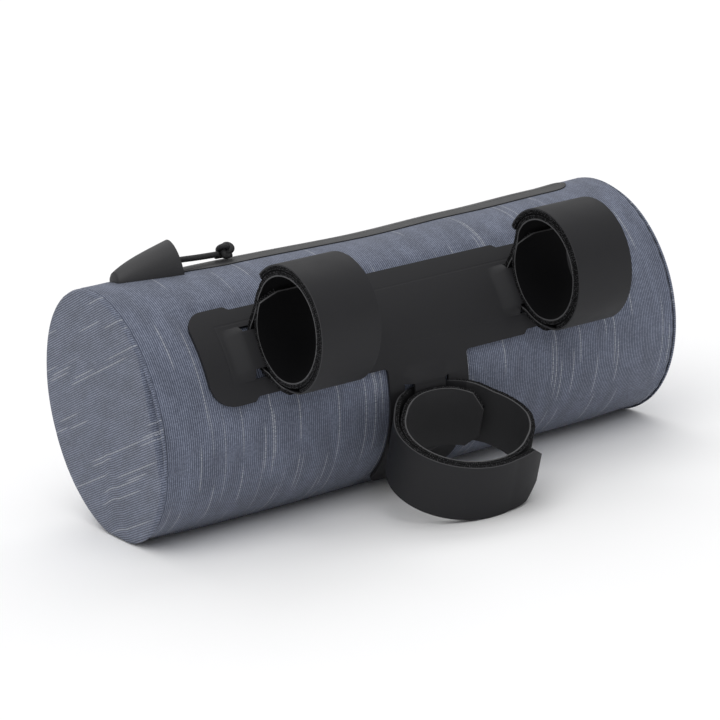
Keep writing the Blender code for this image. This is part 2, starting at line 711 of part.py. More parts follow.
empty_scene()
parts = new_collection("handlebar_bag")
cutters = new_collection("cutters")
bag_frame = bpy.data.objects.new("bag_frame", None)
parts.objects.link(bag_frame)

body_panel()
end_panel("left", -1)
end_panel("right", 1)
zip_tape("front", -1)
zip_tape("back", 1)
zip_slider()
zip_garage()
pull_cord()
pull_knot()
mount_plate()
for strap_loop in LOOPS:
    strap(strap_loop)
shade_round_pieces()
place_on_floor()
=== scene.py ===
"""Bicycle handlebar bag, dressed: ribbed slate fabric, strap plate, hook-and-loop straps, zip with its
hood and knotted cord.

Metres, +Z up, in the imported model's frame. Pieces are shaped in the bag's own frame, where its axis is X
and angles run from the straps' side (-Y) up towards +Z, and then rolled into place.
"""

import math
import random
from collections import namedtuple

import bmesh
import bpy
from mathutils import Matrix, Vector, noise


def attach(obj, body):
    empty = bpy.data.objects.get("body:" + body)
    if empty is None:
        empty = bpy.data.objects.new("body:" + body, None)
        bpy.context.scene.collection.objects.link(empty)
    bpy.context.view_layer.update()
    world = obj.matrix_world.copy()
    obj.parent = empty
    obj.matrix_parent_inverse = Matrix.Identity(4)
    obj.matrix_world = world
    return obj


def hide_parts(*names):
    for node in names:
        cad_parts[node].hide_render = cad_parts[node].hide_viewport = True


MM = 0.001

# The bag's axis and roll as it rests on the floor
BAG_PLACE = Matrix.Translation((0, 26.1 * MM, 49.6 * MM)) @ Matrix.Rotation(math.radians(11.267), 4, 'X')
FLOOR_ANGLE = math.radians(11.267 - 90)

# Bag body, as packed
BAG_RADIUS = 50 * MM
BAG_LENGTH = 240.6 * MM
FABRIC_WALL = 2.0 * MM
SEAM_DIP = 0.8 * MM
SEAM_DIP_REACH = 7 * MM
REST_SAG = 0.4 * MM
LOW_SEAM_ANGLE = math.radians(-58)
FOLD_BULGE = 1.0 * MM
FOLD_WIDTH = math.radians(8)
FOLD_LENGTH = 45 * MM
GAP = 0.3 * MM

# Sag under the zip: places are shares of half the bag's length, depths of the deepest
ZIP_DENT = 3.0 * MM
ZIP_DENT_ANGLE = math.radians(107)
ZIP_DENT_WIDTH = math.radians(24)
DentRow = namedtuple("DentRow", "place depth")
ZIP_DENT_ROWS = [DentRow(-0.88, 0.0), DentRow(-0.62, 0.5), DentRow(-0.42, 0.5), DentRow(0.02, 1.0),
                 DentRow(0.42, 0.73), DentRow(0.78, 0.38), DentRow(0.93, 0.0)]

# Soft detail of the fabric
BODY_ROWS_X = 150
BODY_ROWS_GIRTH = 216
PUCKER_DEPTH = 0.16 * MM
PUCKER_COUNT = 46
PUCKER_REACH = 7 * MM
FULLNESS = 0.5 * MM
PLATE_EASE = 4 * MM
TOP_FILL_ANGLE = math.radians(100)
TOP_FILL_WIDTH = math.radians(35)
WAVE_DEPTH = 0.3 * MM
WAVE_SIZE = 38 * MM
SEAM_GROOVE = 0.45 * MM
SEAM_GROOVE_WIDTH = math.radians(0.7)
SEAM_ROWS = (0.0, 0.35, 0.8, 1.4, 2.4)
SEAM_MARGIN = math.radians(1)
BODY_END = BAG_LENGTH / 2 - 1.7 * MM
END_TUCK = 0.45 * MM
END_TUCK_REACH = 1.0 * MM
END_ROWS = (0, 0.25, 0.5, 0.8, 1.2, 1.8, 2.6, 3.6)
SHELL_THICKNESS = FABRIC_WALL * 0.7

# Weave, in millimetres: yarn floats' pitch, then each slub length with the share of ribs it spares
FLOAT_PITCH = 0.62
SLUBS = ((25.0, 0.955), (50.0, 0.965))

# End discs
DISC_GRID = 96
DISC_ROLL = 1.5 * MM
DISC_THICKNESS = 0.5 * MM
DISC_WAVE_DEPTH = 0.25 * MM
DISC_WAVE_SIZE = 30 * MM
DISC_CREASE_ANGLE = math.radians(18.7)
DISC_CREASE_RADIUS = 44.2 * MM
DISC_CREASE_BOW = 5.5 * MM
DISC_CREASE_DEPTH = 3.4 * MM
DISC_RIB_ANGLE = math.radians(31.6)

# Zip
ZIP_ANGLE = math.radians(105)
ZIP_RIGHT_END = BAG_LENGTH / 2 - 14.9 * MM
ZIP_LEFT_END = 19.3 * MM - BAG_LENGTH / 2
ZIP_TAPE_THICKNESS = 1.0 * MM
ZIP_TAPE_WIDTH = 20 * MM
ZIP_HIDDEN_WIDTH = 7 * MM
ZIP_FRONT_WIDTH = 7.5 * MM
ZIP_MOUTH_WIDTH = 4 * MM
ZIP_WIDENING = 20 * MM
STRIP_TOP = 0.7 * MM
STRIP_THICKNESS = 0.4 * MM
STRIP_EDGE_DROP = 0.25 * MM
STRIP_EDGE_WIDTH = 1.5 * MM
COIL_HEIGHT = 0.2 * MM
COIL_WIDTH = 3.2 * MM
SLIT_WIDTH = 0.5 * MM
SLIT_DEPTH = 0.4 * MM

# Hood over the zip's closed end
GARAGE_TIP_X = 13.6 * MM - BAG_LENGTH / 2
SLIDER_X = GARAGE_TIP_X + 12 * MM
GARAGE_LENGTH = 27.2 * MM
HOOD_MOUTH_X = GARAGE_TIP_X + GARAGE_LENGTH
GARAGE_HEIGHT = 13.2 * MM
GARAGE_WIDTH = 15 * MM
GARAGE_WALL = 1.2 * MM
GARAGE_RAKE = 1.6 * MM
HOOD_NOSE = 0.03

# Pull cord: how far beyond the slider and height above the zip tape, in millimetres
CORD_DIAMETER = 2.4 * MM
CORD_ROUTE = [(2.1, 3.1), (8.7, 3.6), (16.7, 3.85), (24.7, 3.3), (30.7, 2.95), (34.2, 2.8)]
KNOT_X = SLIDER_X + 37.8 * MM
KNOT_SCALE = 0.92 * MM
KNOT_DEPTH = 1.15 * MM
KNOT_HEIGHT = 3.7 * MM
KNOT_CORD_SHARE = 0.94

# Strap plate
PLATE_THICKNESS = 1.2 * MM
PLATE_X = -2.5 * MM
WING_HALF_LENGTH = 94.2 * MM
WING_TOP_ANGLE = math.radians(62.6)
WING_BOTTOM_ANGLE = math.radians(18)
WING_TOP_CORNER = 8 * MM
WING_BOTTOM_CORNER = 10 * MM
NOTCH_DEPTH = 1.8 * MM
STEM_HALF_WIDTH = 18.2 * MM
STEM_END_ANGLE = math.radians(-58)
STEM_CORNER = 15 * MM
SMALL_CORNER = 1.5 * MM
NOTCH_CORNER = 0.8 * MM
PLATE_STEP_ANGLE = math.radians(2)
SLOT_SPACING = 17.2 * MM
SLOT_OPENING = 3.2 * MM
SLOT_LENGTH = 28.8 * MM
BRIDGE_RAMP = 8 * MM

# Straps
STRAP_WIDTH = 25 * MM
STRAP_THICKNESS = 2.2 * MM
STRAP_CHAMFER = 6 * MM
STRAP_HUG_START = 6.2 * MM
STRAP_HUG_END = 11.7 * MM
STRAP_STRAIGHTEN = 12 * MM
LAYER_PITCH = STRAP_THICKNESS + GAP
SKIN_THICKNESS = 0.65 * MM
SKIN_STEP = math.radians(2.5)
BAR_SKIN_TURN = (math.radians(416), math.radians(448))
TUBE_SKIN_TURN = (math.radians(326), math.radians(366))
PILE_STEP = math.radians(1.0)
PILE_INSET = 0.1 * MM
PILE_ROUGHNESS = 0.4 * MM
HOOK_SIZE = 0.3 * MM
HOOK_PITCH = 0.85 * MM
HOOK_ROW_HEIGHT = 0.75 * MM
FUZZ_SIZE = 0.9 * MM

Loop = namedtuple("Loop", "name slot_x strap_x seat droop depth span inner_end outer_end flare girth")
BAR_SEAT = math.radians(39.3)
BAR_SLOT_SPACING = 60.5 * MM
BAR_STRAP_DRIFT = 1.6 * MM
TUBE_SEAT = math.radians(-7.1)
TUBE_DROOP = math.radians(-6.2)
TUBE_X = PLATE_X - 1.4 * MM
EASE_OUT_ANGLE = math.radians(38)
LOOP_RISE = 3.6 * MM
RISE_START = 7 * MM
RISE_TOP = 15 * MM

SHEET_RADIUS = BAG_RADIUS + GAP
BEHIND_RADIUS = SHEET_RADIUS + STRAP_THICKNESS / 2
BRIDGE_LIFT = STRAP_THICKNESS + 1.8 * GAP
TONGUE_INSET = BRIDGE_LIFT + PLATE_THICKNESS + GAP

BAR_DROOP = math.radians(-3.0)
BarStrap = namedtuple("BarStrap", "side sign depth outer_end")
BAR_STRAPS = [BarStrap("left", -1, 57.4 * MM, math.radians(360 + 296)),
              BarStrap("right", 1, 50.8 * MM, math.radians(360 + 311))]
BAR_LOOPS = [
    Loop("bar_strap_" + bar.side, PLATE_X + bar.sign * BAR_SLOT_SPACING,
         PLATE_X + bar.sign * (BAR_SLOT_SPACING - BAR_STRAP_DRIFT), BAR_SEAT, BAR_DROOP, bar.depth,
         49 * MM, math.radians(-70), bar.outer_end, 0.0, True)
    for bar in BAR_STRAPS
]
TUBE_LOOP = Loop("tube_strap", TUBE_X, TUBE_X, TUBE_SEAT, TUBE_DROOP, 54.1 * MM, 57.4 * MM,
                 math.radians(-52), math.radians(360 + 227), 2.6 * MM, False)
LOOPS = BAR_LOOPS + [TUBE_LOOP]


def smoothstep(value, start, end):
    """0 before start, 1 after end, smooth between."""
    share = min(max((value - start) / (end - start), 0.0), 1.0)
    return share * share * (3 - 2 * share)


def direction(angle):
    """Unit vector away from the bag's axis at an angle."""
    return Vector((0, -math.cos(angle), math.sin(angle)))


def along_girth(angle):
    """Unit vector round the bag, towards larger angles."""
    return Vector((0, math.sin(angle), math.cos(angle)))


def bag_point(x, angle, radius):
    return Vector((x, 0, 0)) + direction(angle) * radius


def spread(start, stop, count):
    """Even places from start to stop, both counted."""
    return [start + (stop - start) * place / (count - 1) for place in range(count)]


# Shaping helpers

def flat_grid(rows_x, rows_y):
    """A flat sheet with a row of points at each given place, and its places kept as UVs in metres."""
    shape = bmesh.new()
    across = len(rows_x) - 1
    along = len(rows_y) - 1
    bmesh.ops.create_grid(shape, x_segments=across, y_segments=along, size=0.5)
    for vertex in shape.verts:
        column = round((vertex.co.x + 0.5) * across)
        row = round((vertex.co.y + 0.5) * along)
        vertex.co = (rows_x[column], rows_y[row], 0)
    keep_places(shape)
    return shape


def keep_places(shape, place=lambda point: point.xy):
    """Writes each corner's flat place into the UV map that weaves and pressed lines follow."""
    weave = shape.loops.layers.uv.get("weave") or shape.loops.layers.uv.new("weave")
    for face in shape.faces:
        for corner in face.loops:
            corner[weave].uv = place(corner.vert.co)


def cut_at(shape, point, normal, drop_outer=False):
    geometry = shape.verts[:] + shape.edges[:] + shape.faces[:]
    bmesh.ops.bisect_plane(shape, geom=geometry, plane_co=point, plane_no=normal,
                           clear_outer=drop_outer, dist=1e-6)


def add_piece(name, data, finishes, slot, *nodes):
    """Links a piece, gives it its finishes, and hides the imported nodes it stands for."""
    piece = bpy.data.objects.new(name, data)
    bpy.context.scene.collection.objects.link(piece)
    for finish in finishes:
        data.materials.append(finish)
    if nodes:
        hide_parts(*nodes)
    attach(piece, "root")
    return piece


def mesh_piece(shape, name, finishes, slot, *nodes):
    """Rolls a finished shape into the bag's place and makes it a piece."""
    shape.transform(BAG_PLACE)
    mesh = bpy.data.meshes.new(name)
    shape.to_mesh(mesh)
    shape.free()
    mesh.shade_smooth()
    return add_piece(name, mesh, finishes, slot, *nodes)


def wall(piece, thickness, offset, rim_finish=0):
    """Gives a sheet its thickness; its edge may take the next finish."""
    solid = piece.modifiers.new("wall", 'SOLIDIFY')
    solid.thickness = thickness
    solid.offset = offset
    solid.use_even_offset = True
    solid.material_offset_rim = rim_finish
    return solid


def soften(piece, width, segments=2):
    edge = piece.modifiers.new("soft_edge", 'BEVEL')
    edge.width = width
    edge.segments = segments
    edge.limit_method = 'ANGLE'
    edge.angle_limit = math.radians(50)
    edge.harden_normals = True


# Materials

def new_group(name, inputs):
    """A shader node group that takes a place and the given inputs, and puts out the same three values."""
    group = bpy.data.node_groups.new(name, 'ShaderNodeTree')
    group.interface.new_socket(name="Place", in_out='INPUT', socket_type='NodeSocketVector')
    for label, value in inputs:
        kind = 'NodeSocketColor' if isinstance(value, tuple) else 'NodeSocketFloat'
        group.interface.new_socket(name=label, in_out='INPUT', socket_type=kind).default_value = value
    for label, kind in (("Color", 'NodeSocketColor'), ("Height", 'NodeSocketFloat'),
                        ("Roughness", 'NodeSocketFloat')):
        group.interface.new_socket(name=label, in_out='OUTPUT', socket_type=kind)
    entry = group.nodes.new("NodeGroupInput")
    leave = group.nodes.new("NodeGroupOutput")
    return group, entry.outputs, leave.inputs


def feed(tree, socket, value):
    """Links a socket, or sets its value."""
    if isinstance(value, bpy.types.NodeSocket):
        tree.links.new(value, socket)
    elif value is not None:
        socket.default_value = value


def set_inputs(node, **values):
    """Sets constants on a node's own sockets."""
    for label, value in values.items():
        node.inputs[label.replace("_", " ")].default_value = value


def calc(tree, operation, first, second=None, third=None):
    node = tree.nodes.new("ShaderNodeMath")
    node.operation = operation
    for socket, value in zip(node.inputs, (first, second, third)):
        feed(tree, socket, value)
    return node.outputs[0]


def span(tree, value, low, high, to_low=0.0, to_high=1.0):
    """Maps a value smoothly from one span to another."""
    node = tree.nodes.new("ShaderNodeMapRange")
    node.interpolation_type = 'SMOOTHSTEP'
    for label, number in (("Value", value), ("From Min", low), ("From Max", high),
                          ("To Min", to_low), ("To Max", to_high)):
        feed(tree, node.inputs[label], number)
    return node.outputs[0]


def blend_colour(tree, share, first, second):
    node = tree.nodes.new("ShaderNodeMix")
    node.data_type = 'RGBA'
    feed(tree, node.inputs["Factor"], share)
    feed(tree, node.inputs["A"], first)
    feed(tree, node.inputs["B"], second)
    return node.outputs["Result"]


def scale_colour(tree, colour, amount):
    node = tree.nodes.new("ShaderNodeVectorMath")
    node.operation = 'SCALE'
    feed(tree, node.inputs[0], colour)
    feed(tree, node.inputs["Scale"], amount)
    return node.outputs["Vector"]


def join_axes(tree, x, y, z=0.0):
    node = tree.nodes.new("ShaderNodeCombineXYZ")
    for socket, value in zip(node.inputs, (x, y, z)):
        feed(tree, socket, value)
    return node.outputs[0]


def split_axes(tree, vector):
    node = tree.nodes.new("ShaderNodeSeparateXYZ")
    feed(tree, node.inputs[0], vector)
    return node.outputs


def chance(tree, x, y):
    """A fixed random number for each whole pair."""
    node = tree.nodes.new("ShaderNodeTexWhiteNoise")
    node.noise_dimensions = '2D'
    feed(tree, node.inputs["Vector"], join_axes(tree, x, y))
    return node.outputs["Value"]


def cloud(tree, vector, scale, detail=2.0):
    node = tree.nodes.new("ShaderNodeTexNoise")
    feed(tree, node.inputs["Vector"], vector)
    set_inputs(node, Scale=scale, Detail=detail)
    return node.outputs["Fac"]


def slub_weave_group():
    """Ribbed cloth: ribs across x, short yarn floats along y, and pale slubs that each fill a rib; painted
    shade darkens the valleys between ribs and floats.
    """
    group, given, out = new_group("slub_weave", [
        ("Rib pitch", 1.0),
        ("Rib colour", (0.2, 0.2, 0.2, 1)),
        ("Gap colour", (0.05, 0.05, 0.05, 1)),
        ("Slub colour", (0.5, 0.5, 0.5, 1)),
    ])
    axes = split_axes(group, given["Place"])
    x = calc(group, 'MULTIPLY', axes[0], 1000.0)
    y = calc(group, 'MULTIPLY', axes[1], 1000.0)
    phase = calc(group, 'DIVIDE', x, given["Rib pitch"])
    rib = calc(group, 'FLOOR', phase)
    inside = calc(group, 'FRACT', phase)
    crown = calc(group, 'SINE', calc(group, 'MULTIPLY', inside, math.pi))
    step = calc(group, 'ADD', calc(group, 'DIVIDE', y, FLOAT_PITCH), calc(group, 'MULTIPLY', rib, 0.5))
    float_crown = calc(group, 'SINE', calc(group, 'MULTIPLY', calc(group, 'FRACT', step), math.pi))
    fleck = chance(group, rib, calc(group, 'FLOOR', step))
    # The crowns of ribs and floats set how far the colour leans from the rib colour to the darker gap
    # colour: painted shade in the valleys, with random flecks of real tone on top.
    painted_shade_and_fleck = calc(group, 'MULTIPLY', span(group, crown, 0.05, 0.9),
                span(group, float_crown, 0.0, 1.0, 0.72, 1.0))
    painted_shade_and_fleck = calc(group, 'MULTIPLY', painted_shade_and_fleck, span(group, fleck, 0.0, 1.0, 0.74, 1.12))
    colour = blend_colour(group, painted_shade_and_fleck, given["Gap colour"], given["Rib colour"])
    patch = join_axes(group, calc(group, 'MULTIPLY', x, 0.16), calc(group, 'MULTIPLY', y, 0.05))
    mottle = cloud(group, patch, 1.0, 3.0)
    colour = scale_colour(group, colour, span(group, mottle, 0.25, 0.75, 0.86, 1.14))
    slubs = None
    for length, keep in SLUBS:
        shift = chance(group, rib, length)
        place = calc(group, 'ADD', calc(group, 'DIVIDE', y, length), calc(group, 'MULTIPLY', shift, 9.0))
        lot = chance(group, rib, calc(group, 'FLOOR', place))
        within = calc(group, 'FRACT', place)
        body = calc(group, 'SINE', calc(group, 'MULTIPLY', within, math.pi))
        mask = calc(group, 'MULTIPLY', span(group, lot, keep, keep + 0.02), span(group, body, 0.1, 0.7))
        slubs = mask if slubs is None else calc(group, 'MAXIMUM', slubs, mask)
    broken = cloud(group, join_axes(group, rib, calc(group, 'MULTIPLY', y, 1.5)), 1.0, 2.0)
    slubs = calc(group, 'MULTIPLY', slubs, span(group, broken, 0.38, 0.6, 0.1, 0.8))
    slubs = calc(group, 'MULTIPLY', slubs, span(group, crown, 0.1, 0.6))
    colour = blend_colour(group, slubs, colour, given["Slub colour"])
    feed(group, out["Color"], colour)
    raised = calc(group, 'MULTIPLY', crown, calc(group, 'MULTIPLY_ADD', float_crown, 0.35, 0.65))
    feed(group, out["Height"], calc(group, 'MULTIPLY_ADD', slubs, 0.5, raised))
    feed(group, out["Roughness"], span(group, painted_shade_and_fleck, 0.0, 1.0, 0.9, 0.72))
    return group


def fine_grain_group():
    """A fine even grain with faint broad clouds, for moulded and coated faces."""
    group, given, out = new_group("fine_grain", [
        ("Base colour", (0.05, 0.05, 0.05, 1)),
        ("Tone spread", 0.1),
        ("Roughness", 0.6),
    ])
    grain = cloud(group, given["Place"], 3200.0, 2.0)
    broad = cloud(group, given["Place"], 70.0, 3.0)
    lift = calc(group, 'MULTIPLY', calc(group, 'SUBTRACT', grain, 0.5), 1.4)
    lift = calc(group, 'ADD', lift, calc(group, 'SUBTRACT', broad, 0.5))
    amount = calc(group, 'MULTIPLY_ADD', lift, given["Tone spread"], 1.0)
    feed(group, out["Color"], scale_colour(group, given["Base colour"], amount))
    feed(group, out["Height"], grain)
    feed(group, out["Roughness"], calc(group, 'MULTIPLY_ADD', calc(group, 'SUBTRACT', broad, 0.5), 0.2,
                                       given["Roughness"]))
    return group


def new_material(name):
    finish = bpy.data.materials.new(name)
    finish.use_nodes = True
    tree = finish.node_tree
    shader = tree.nodes["Principled BSDF"]
    return finish, tree, shader


def coordinates(tree, kind):
    """Object coordinates, or the piece's own weave map."""
    if kind == "weave":
        node = tree.nodes.new("ShaderNodeUVMap")
        node.uv_map = "weave"
        return node.outputs["UV"]
    return tree.nodes.new("ShaderNodeTexCoord").outputs["Object"]


def bump(tree, shader, height, distance):
    node = tree.nodes.new("ShaderNodeBump")
    set_inputs(node, Strength=1.0, Distance=distance)
    feed(tree, node.inputs["Height"], height)
    feed(tree, shader.inputs["Normal"], node.outputs["Normal"])
    return node


def use_group(tree, group, **values):
    node = tree.nodes.new("ShaderNodeGroup")
    node.node_tree = group
    for label, value in values.items():
        feed(tree, node.inputs[label.replace("_", " ")], value)
    return node.outputs


def slate_fabric():
    finish, tree, shader = new_material("slate_fabric")
    # The darker gap colour is painted shade for the valleys between ribs and floats.
    weave = use_group(tree, SLUB_WEAVE, Place=coordinates(tree, "weave"), Rib_pitch=0.86,
                      Rib_colour=(0.190, 0.212, 0.280, 1), Gap_colour=(0.034, 0.042, 0.070, 1),
                      Slub_colour=(0.37, 0.39, 0.44, 1))
    feed(tree, shader.inputs["Base Color"], weave["Color"])
    feed(tree, shader.inputs["Roughness"], weave["Roughness"])
    set_inputs(shader, Specular_IOR_Level=0.25, Sheen_Weight=0.15, Sheen_Roughness=0.5)
    bump(tree, shader, weave["Height"], 0.16 * MM)
    return finish


def grained(name, colour, spread_share, roughness, grain_depth, kind="object", gloss=0.4):
    """A dark coated or moulded finish with fine grain."""
    finish, tree, shader = new_material(name)
    grain = use_group(tree, FINE_GRAIN, Place=coordinates(tree, kind), Base_colour=(*colour, 1),
                      Tone_spread=spread_share, Roughness=roughness)
    feed(tree, shader.inputs["Base Color"], grain["Color"])
    feed(tree, shader.inputs["Roughness"], grain["Roughness"])
    set_inputs(shader, Specular_IOR_Level=gloss)
    relief = bump(tree, shader, grain["Height"], grain_depth)
    return finish, tree, grain, relief


def plate_finish():
    """Matte moulded sheet with pressed lines inside its edges."""
    finish, tree, grain, relief = grained("plate_rubber", (0.017, 0.017, 0.019), 0.22, 0.62,
                                          0.06 * MM, "weave", 0.25)
    axes = split_axes(tree, coordinates(tree, "weave"))
    x = calc(tree, 'ABSOLUTE', calc(tree, 'SUBTRACT', axes[0], PLATE_X))
    middle = (WING_TOP_ANGLE + WING_BOTTOM_ANGLE) / 2 * BAG_RADIUS
    half_height = (WING_TOP_ANGLE - WING_BOTTOM_ANGLE) / 2 * BAG_RADIUS - 8 * MM
    up = calc(tree, 'ABSOLUTE', calc(tree, 'SUBTRACT', axes[1], middle))
    wing = calc(tree, 'MAXIMUM', calc(tree, 'SUBTRACT', x, WING_HALF_LENGTH - 10 * MM),
                calc(tree, 'SUBTRACT', up, half_height))
    groove = span(tree, calc(tree, 'ABSOLUTE', wing), 0.15 * MM, 0.6 * MM)
    feed(tree, relief.inputs["Height"], calc(tree, 'MULTIPLY_ADD', grain["Height"], 0.08, groove))
    return finish


def pile_finish():
    """Black hook-and-loop pile: dark, with small paler yarn ends."""
    finish, tree, shader = new_material("strap_pile")
    place = coordinates(tree, "object")
    ends = tree.nodes.new("ShaderNodeTexVoronoi")
    feed(tree, ends.inputs["Vector"], place)
    set_inputs(ends, Scale=1500.0)
    speck = span(tree, ends.outputs["Distance"], 0.05, 0.42, 1.0, 0.0)
    colour = blend_colour(tree, speck, (0.0012, 0.0012, 0.0016, 1), (0.009, 0.009, 0.011, 1))
    feed(tree, shader.inputs["Base Color"], colour)
    set_inputs(shader, Roughness=0.9, Specular_IOR_Level=0.2)
    bump(tree, shader, speck, 0.3 * MM)
    return finish


def cord_finish():
    """Thin braid: two sets of strands crossing round the cord, darker between them as painted shade."""
    finish, tree, shader = new_material("braided_cord")
    axes = split_axes(tree, coordinates(tree, "object"))
    lean = calc(tree, 'ADD', axes[1], axes[2])
    strands = None
    for sign in (-1.0, 1.0):
        run = calc(tree, 'MULTIPLY_ADD', lean, sign, axes[0])
        wave = calc(tree, 'SINE', calc(tree, 'MULTIPLY', run, 2 * math.pi / (0.9 * MM)))
        strands = wave if strands is None else calc(tree, 'MULTIPLY', strands, wave)
    crown = span(tree, strands, -1.0, 1.0)
    # Strand crowns take the lighter colour, the valleys between strands the darker one: painted shade.
    feed(tree, shader.inputs["Base Color"],
         blend_colour(tree, crown, (0.006, 0.006, 0.007, 1), (0.026, 0.026, 0.028, 1)))
    set_inputs(shader, Roughness=0.6, Specular_IOR_Level=0.45)
    bump(tree, shader, crown, 0.12 * MM)
    return finish


# The bag's fabric

def zip_dent(x):
    """Depth of the sag under the zip, smooth between its table's rows."""
    share = x / (BAG_LENGTH / 2)
    for start, stop in zip(ZIP_DENT_ROWS, ZIP_DENT_ROWS[1:]):
        if start.place <= share <= stop.place:
            mix = smoothstep(share, start.place, stop.place)
            return ZIP_DENT * (start.depth + (stop.depth - start.depth) * mix)
    return 0.0


def wrap_angle(angle):
    """The same angle between -180 and 180 degrees."""
    return (angle + math.pi) % (2 * math.pi) - math.pi


def seam_dip(x):
    """How far the end seams draw the fabric in."""
    from_end = max(BAG_LENGTH / 2 - abs(x), 0.0) / SEAM_DIP_REACH
    return SEAM_DIP * from_end * math.exp(1 - from_end)


def fabric_radius(x, angle):
    """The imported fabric's distance from the bag's axis, the floor left out."""
    angle = wrap_angle(angle)
    fold = (angle - (LOW_SEAM_ANGLE - FOLD_WIDTH)) / FOLD_WIDTH
    from_left = (x + BAG_LENGTH / 2) / FOLD_LENGTH
    fold_share = from_left * math.exp(1 - from_left) if from_left > 0 else 0.0
    sag = (angle - ZIP_DENT_ANGLE) / ZIP_DENT_WIDTH
    return (BAG_RADIUS - seam_dip(x) + FOLD_BULGE * fold_share * math.exp(-fold * fold)
            - zip_dent(x) * math.exp(-sag * sag))


def tape_top(x):
    """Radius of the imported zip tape's outer face."""
    return fabric_radius(x, ZIP_ANGLE) + GAP + ZIP_TAPE_THICKNESS


def plate_cover(x, angle):
    """1 where the strap plate holds the fabric down, 0 a few millimetres away from it."""
    girth = wrap_angle(angle) * BAG_RADIUS
    aside = abs(x - PLATE_X)
    shares = []
    for half_length, low, high in ((WING_HALF_LENGTH, WING_BOTTOM_ANGLE, WING_TOP_ANGLE),
                                   (STEM_HALF_WIDTH, STEM_END_ANGLE, WING_BOTTOM_ANGLE)):
        outside = max(aside - half_length, low * BAG_RADIUS - girth, girth - high * BAG_RADIUS)
        shares.append(1 - smoothstep(outside, 0.3 * PLATE_EASE, 1.3 * PLATE_EASE))
    return max(shares)


def on_floor(radius, angle):
    """The radius, cut off where the bag lies flat on the floor."""
    above_floor = math.cos(angle - FLOOR_ANGLE)
    return min(radius, (BAG_RADIUS - REST_SAG) / above_floor) if above_floor > 0 else radius


def full_radius(x, angle):
    """The fabric as it lies: fuller away from the plate, filled at the top, flat on the floor."""
    top = wrap_angle(angle - TOP_FILL_ANGLE) / TOP_FILL_WIDTH
    fullness = FULLNESS * (1 - plate_cover(x, angle))
    return on_floor(fabric_radius(x, angle) + fullness + seam_dip(x) * math.exp(-top * top), angle)


def shell_radius(x, angle):
    """The full fabric with its small life: puckers, slow waves, the long seam, tucked ends."""
    from_end = BODY_END - abs(x)
    pull = math.exp(-max(from_end, 0.0) / PUCKER_REACH)
    uneven = noise.noise(Vector((math.cos(angle), math.sin(angle), math.copysign(3, x))) * 2.5)
    pucker = PUCKER_DEPTH * pull * math.sin(PUCKER_COUNT * angle + 6 * uneven)
    here = bag_point(x, angle, BAG_RADIUS) / WAVE_SIZE
    wave = WAVE_DEPTH * (noise.noise(here) - 0.6 * plate_cover(x, angle))
    seam = wrap_angle(angle - LOW_SEAM_ANGLE) / SEAM_GROOVE_WIDTH
    groove = SEAM_GROOVE * math.exp(-seam * seam)
    tuck = END_TUCK * (1 - smoothstep(from_end, 0.0, END_TUCK_REACH))
    return on_floor(full_radius(x, angle) + pucker + wave - groove - tuck, angle)


def shell_body():
    """The fabric tube, seamed along the bottom, its ends tucked in at the discs."""
    near_end = [BODY_END - inset * MM for inset in END_ROWS]
    even_end = BODY_END - 5 * MM
    rows_x = [-place for place in near_end] + spread(-even_end, even_end, BODY_ROWS_X) + near_end[::-1]
    seam = [LOW_SEAM_ANGLE + SEAM_GROOVE_WIDTH * share for share in SEAM_ROWS]
    both_sides = 2 * LOW_SEAM_ANGLE + 2 * math.pi
    rows = seam + spread(seam[-1] + SEAM_MARGIN, both_sides - seam[-1] - SEAM_MARGIN, BODY_ROWS_GIRTH)
    rows += [both_sides - angle for angle in seam[::-1]]
    shape = flat_grid(rows_x, [angle * BAG_RADIUS for angle in rows])
    for vertex in shape.verts:
        angle = vertex.co.y / BAG_RADIUS
        vertex.co = bag_point(vertex.co.x, angle, shell_radius(vertex.co.x, angle))
    bmesh.ops.remove_doubles(shape, verts=shape.verts, dist=0.02 * MM)
    bmesh.ops.recalc_face_normals(shape, faces=shape.faces)
    body = mesh_piece(shape, "shell_body", [SLATE_FABRIC], "shell_fabric", "body_panel")
    wall(body, SHELL_THICKNESS, -1)


def disc_height(place):
    """How far the disc's face lies inside its outermost plane."""
    radius = place.length
    roll = max(radius - (BAG_RADIUS - DISC_ROLL), 0.0)
    drop = DISC_ROLL - math.sqrt(max(DISC_ROLL ** 2 - roll ** 2, 0.0))
    return drop + DISC_WAVE_DEPTH * (1 + noise.noise(place.to_3d() / DISC_WAVE_SIZE))


def crease_depth(place):
    """Dent of the left disc beside its front rim, behind a bowed crease."""
    front = Vector((math.cos(DISC_CREASE_ANGLE), math.sin(DISC_CREASE_ANGLE)))
    side = Vector((-front.y, front.x))
    across = place.dot(side) / BAG_RADIUS
    crease = DISC_CREASE_RADIUS - DISC_CREASE_BOW * across * across
    beyond = place.dot(front) - crease
    edge = BAG_RADIUS - 0.6 * MM - place.length
    return DISC_CREASE_DEPTH * smoothstep(beyond, -0.5 * MM, 2.0 * MM) * smoothstep(edge, 0.0, 1.5 * MM)


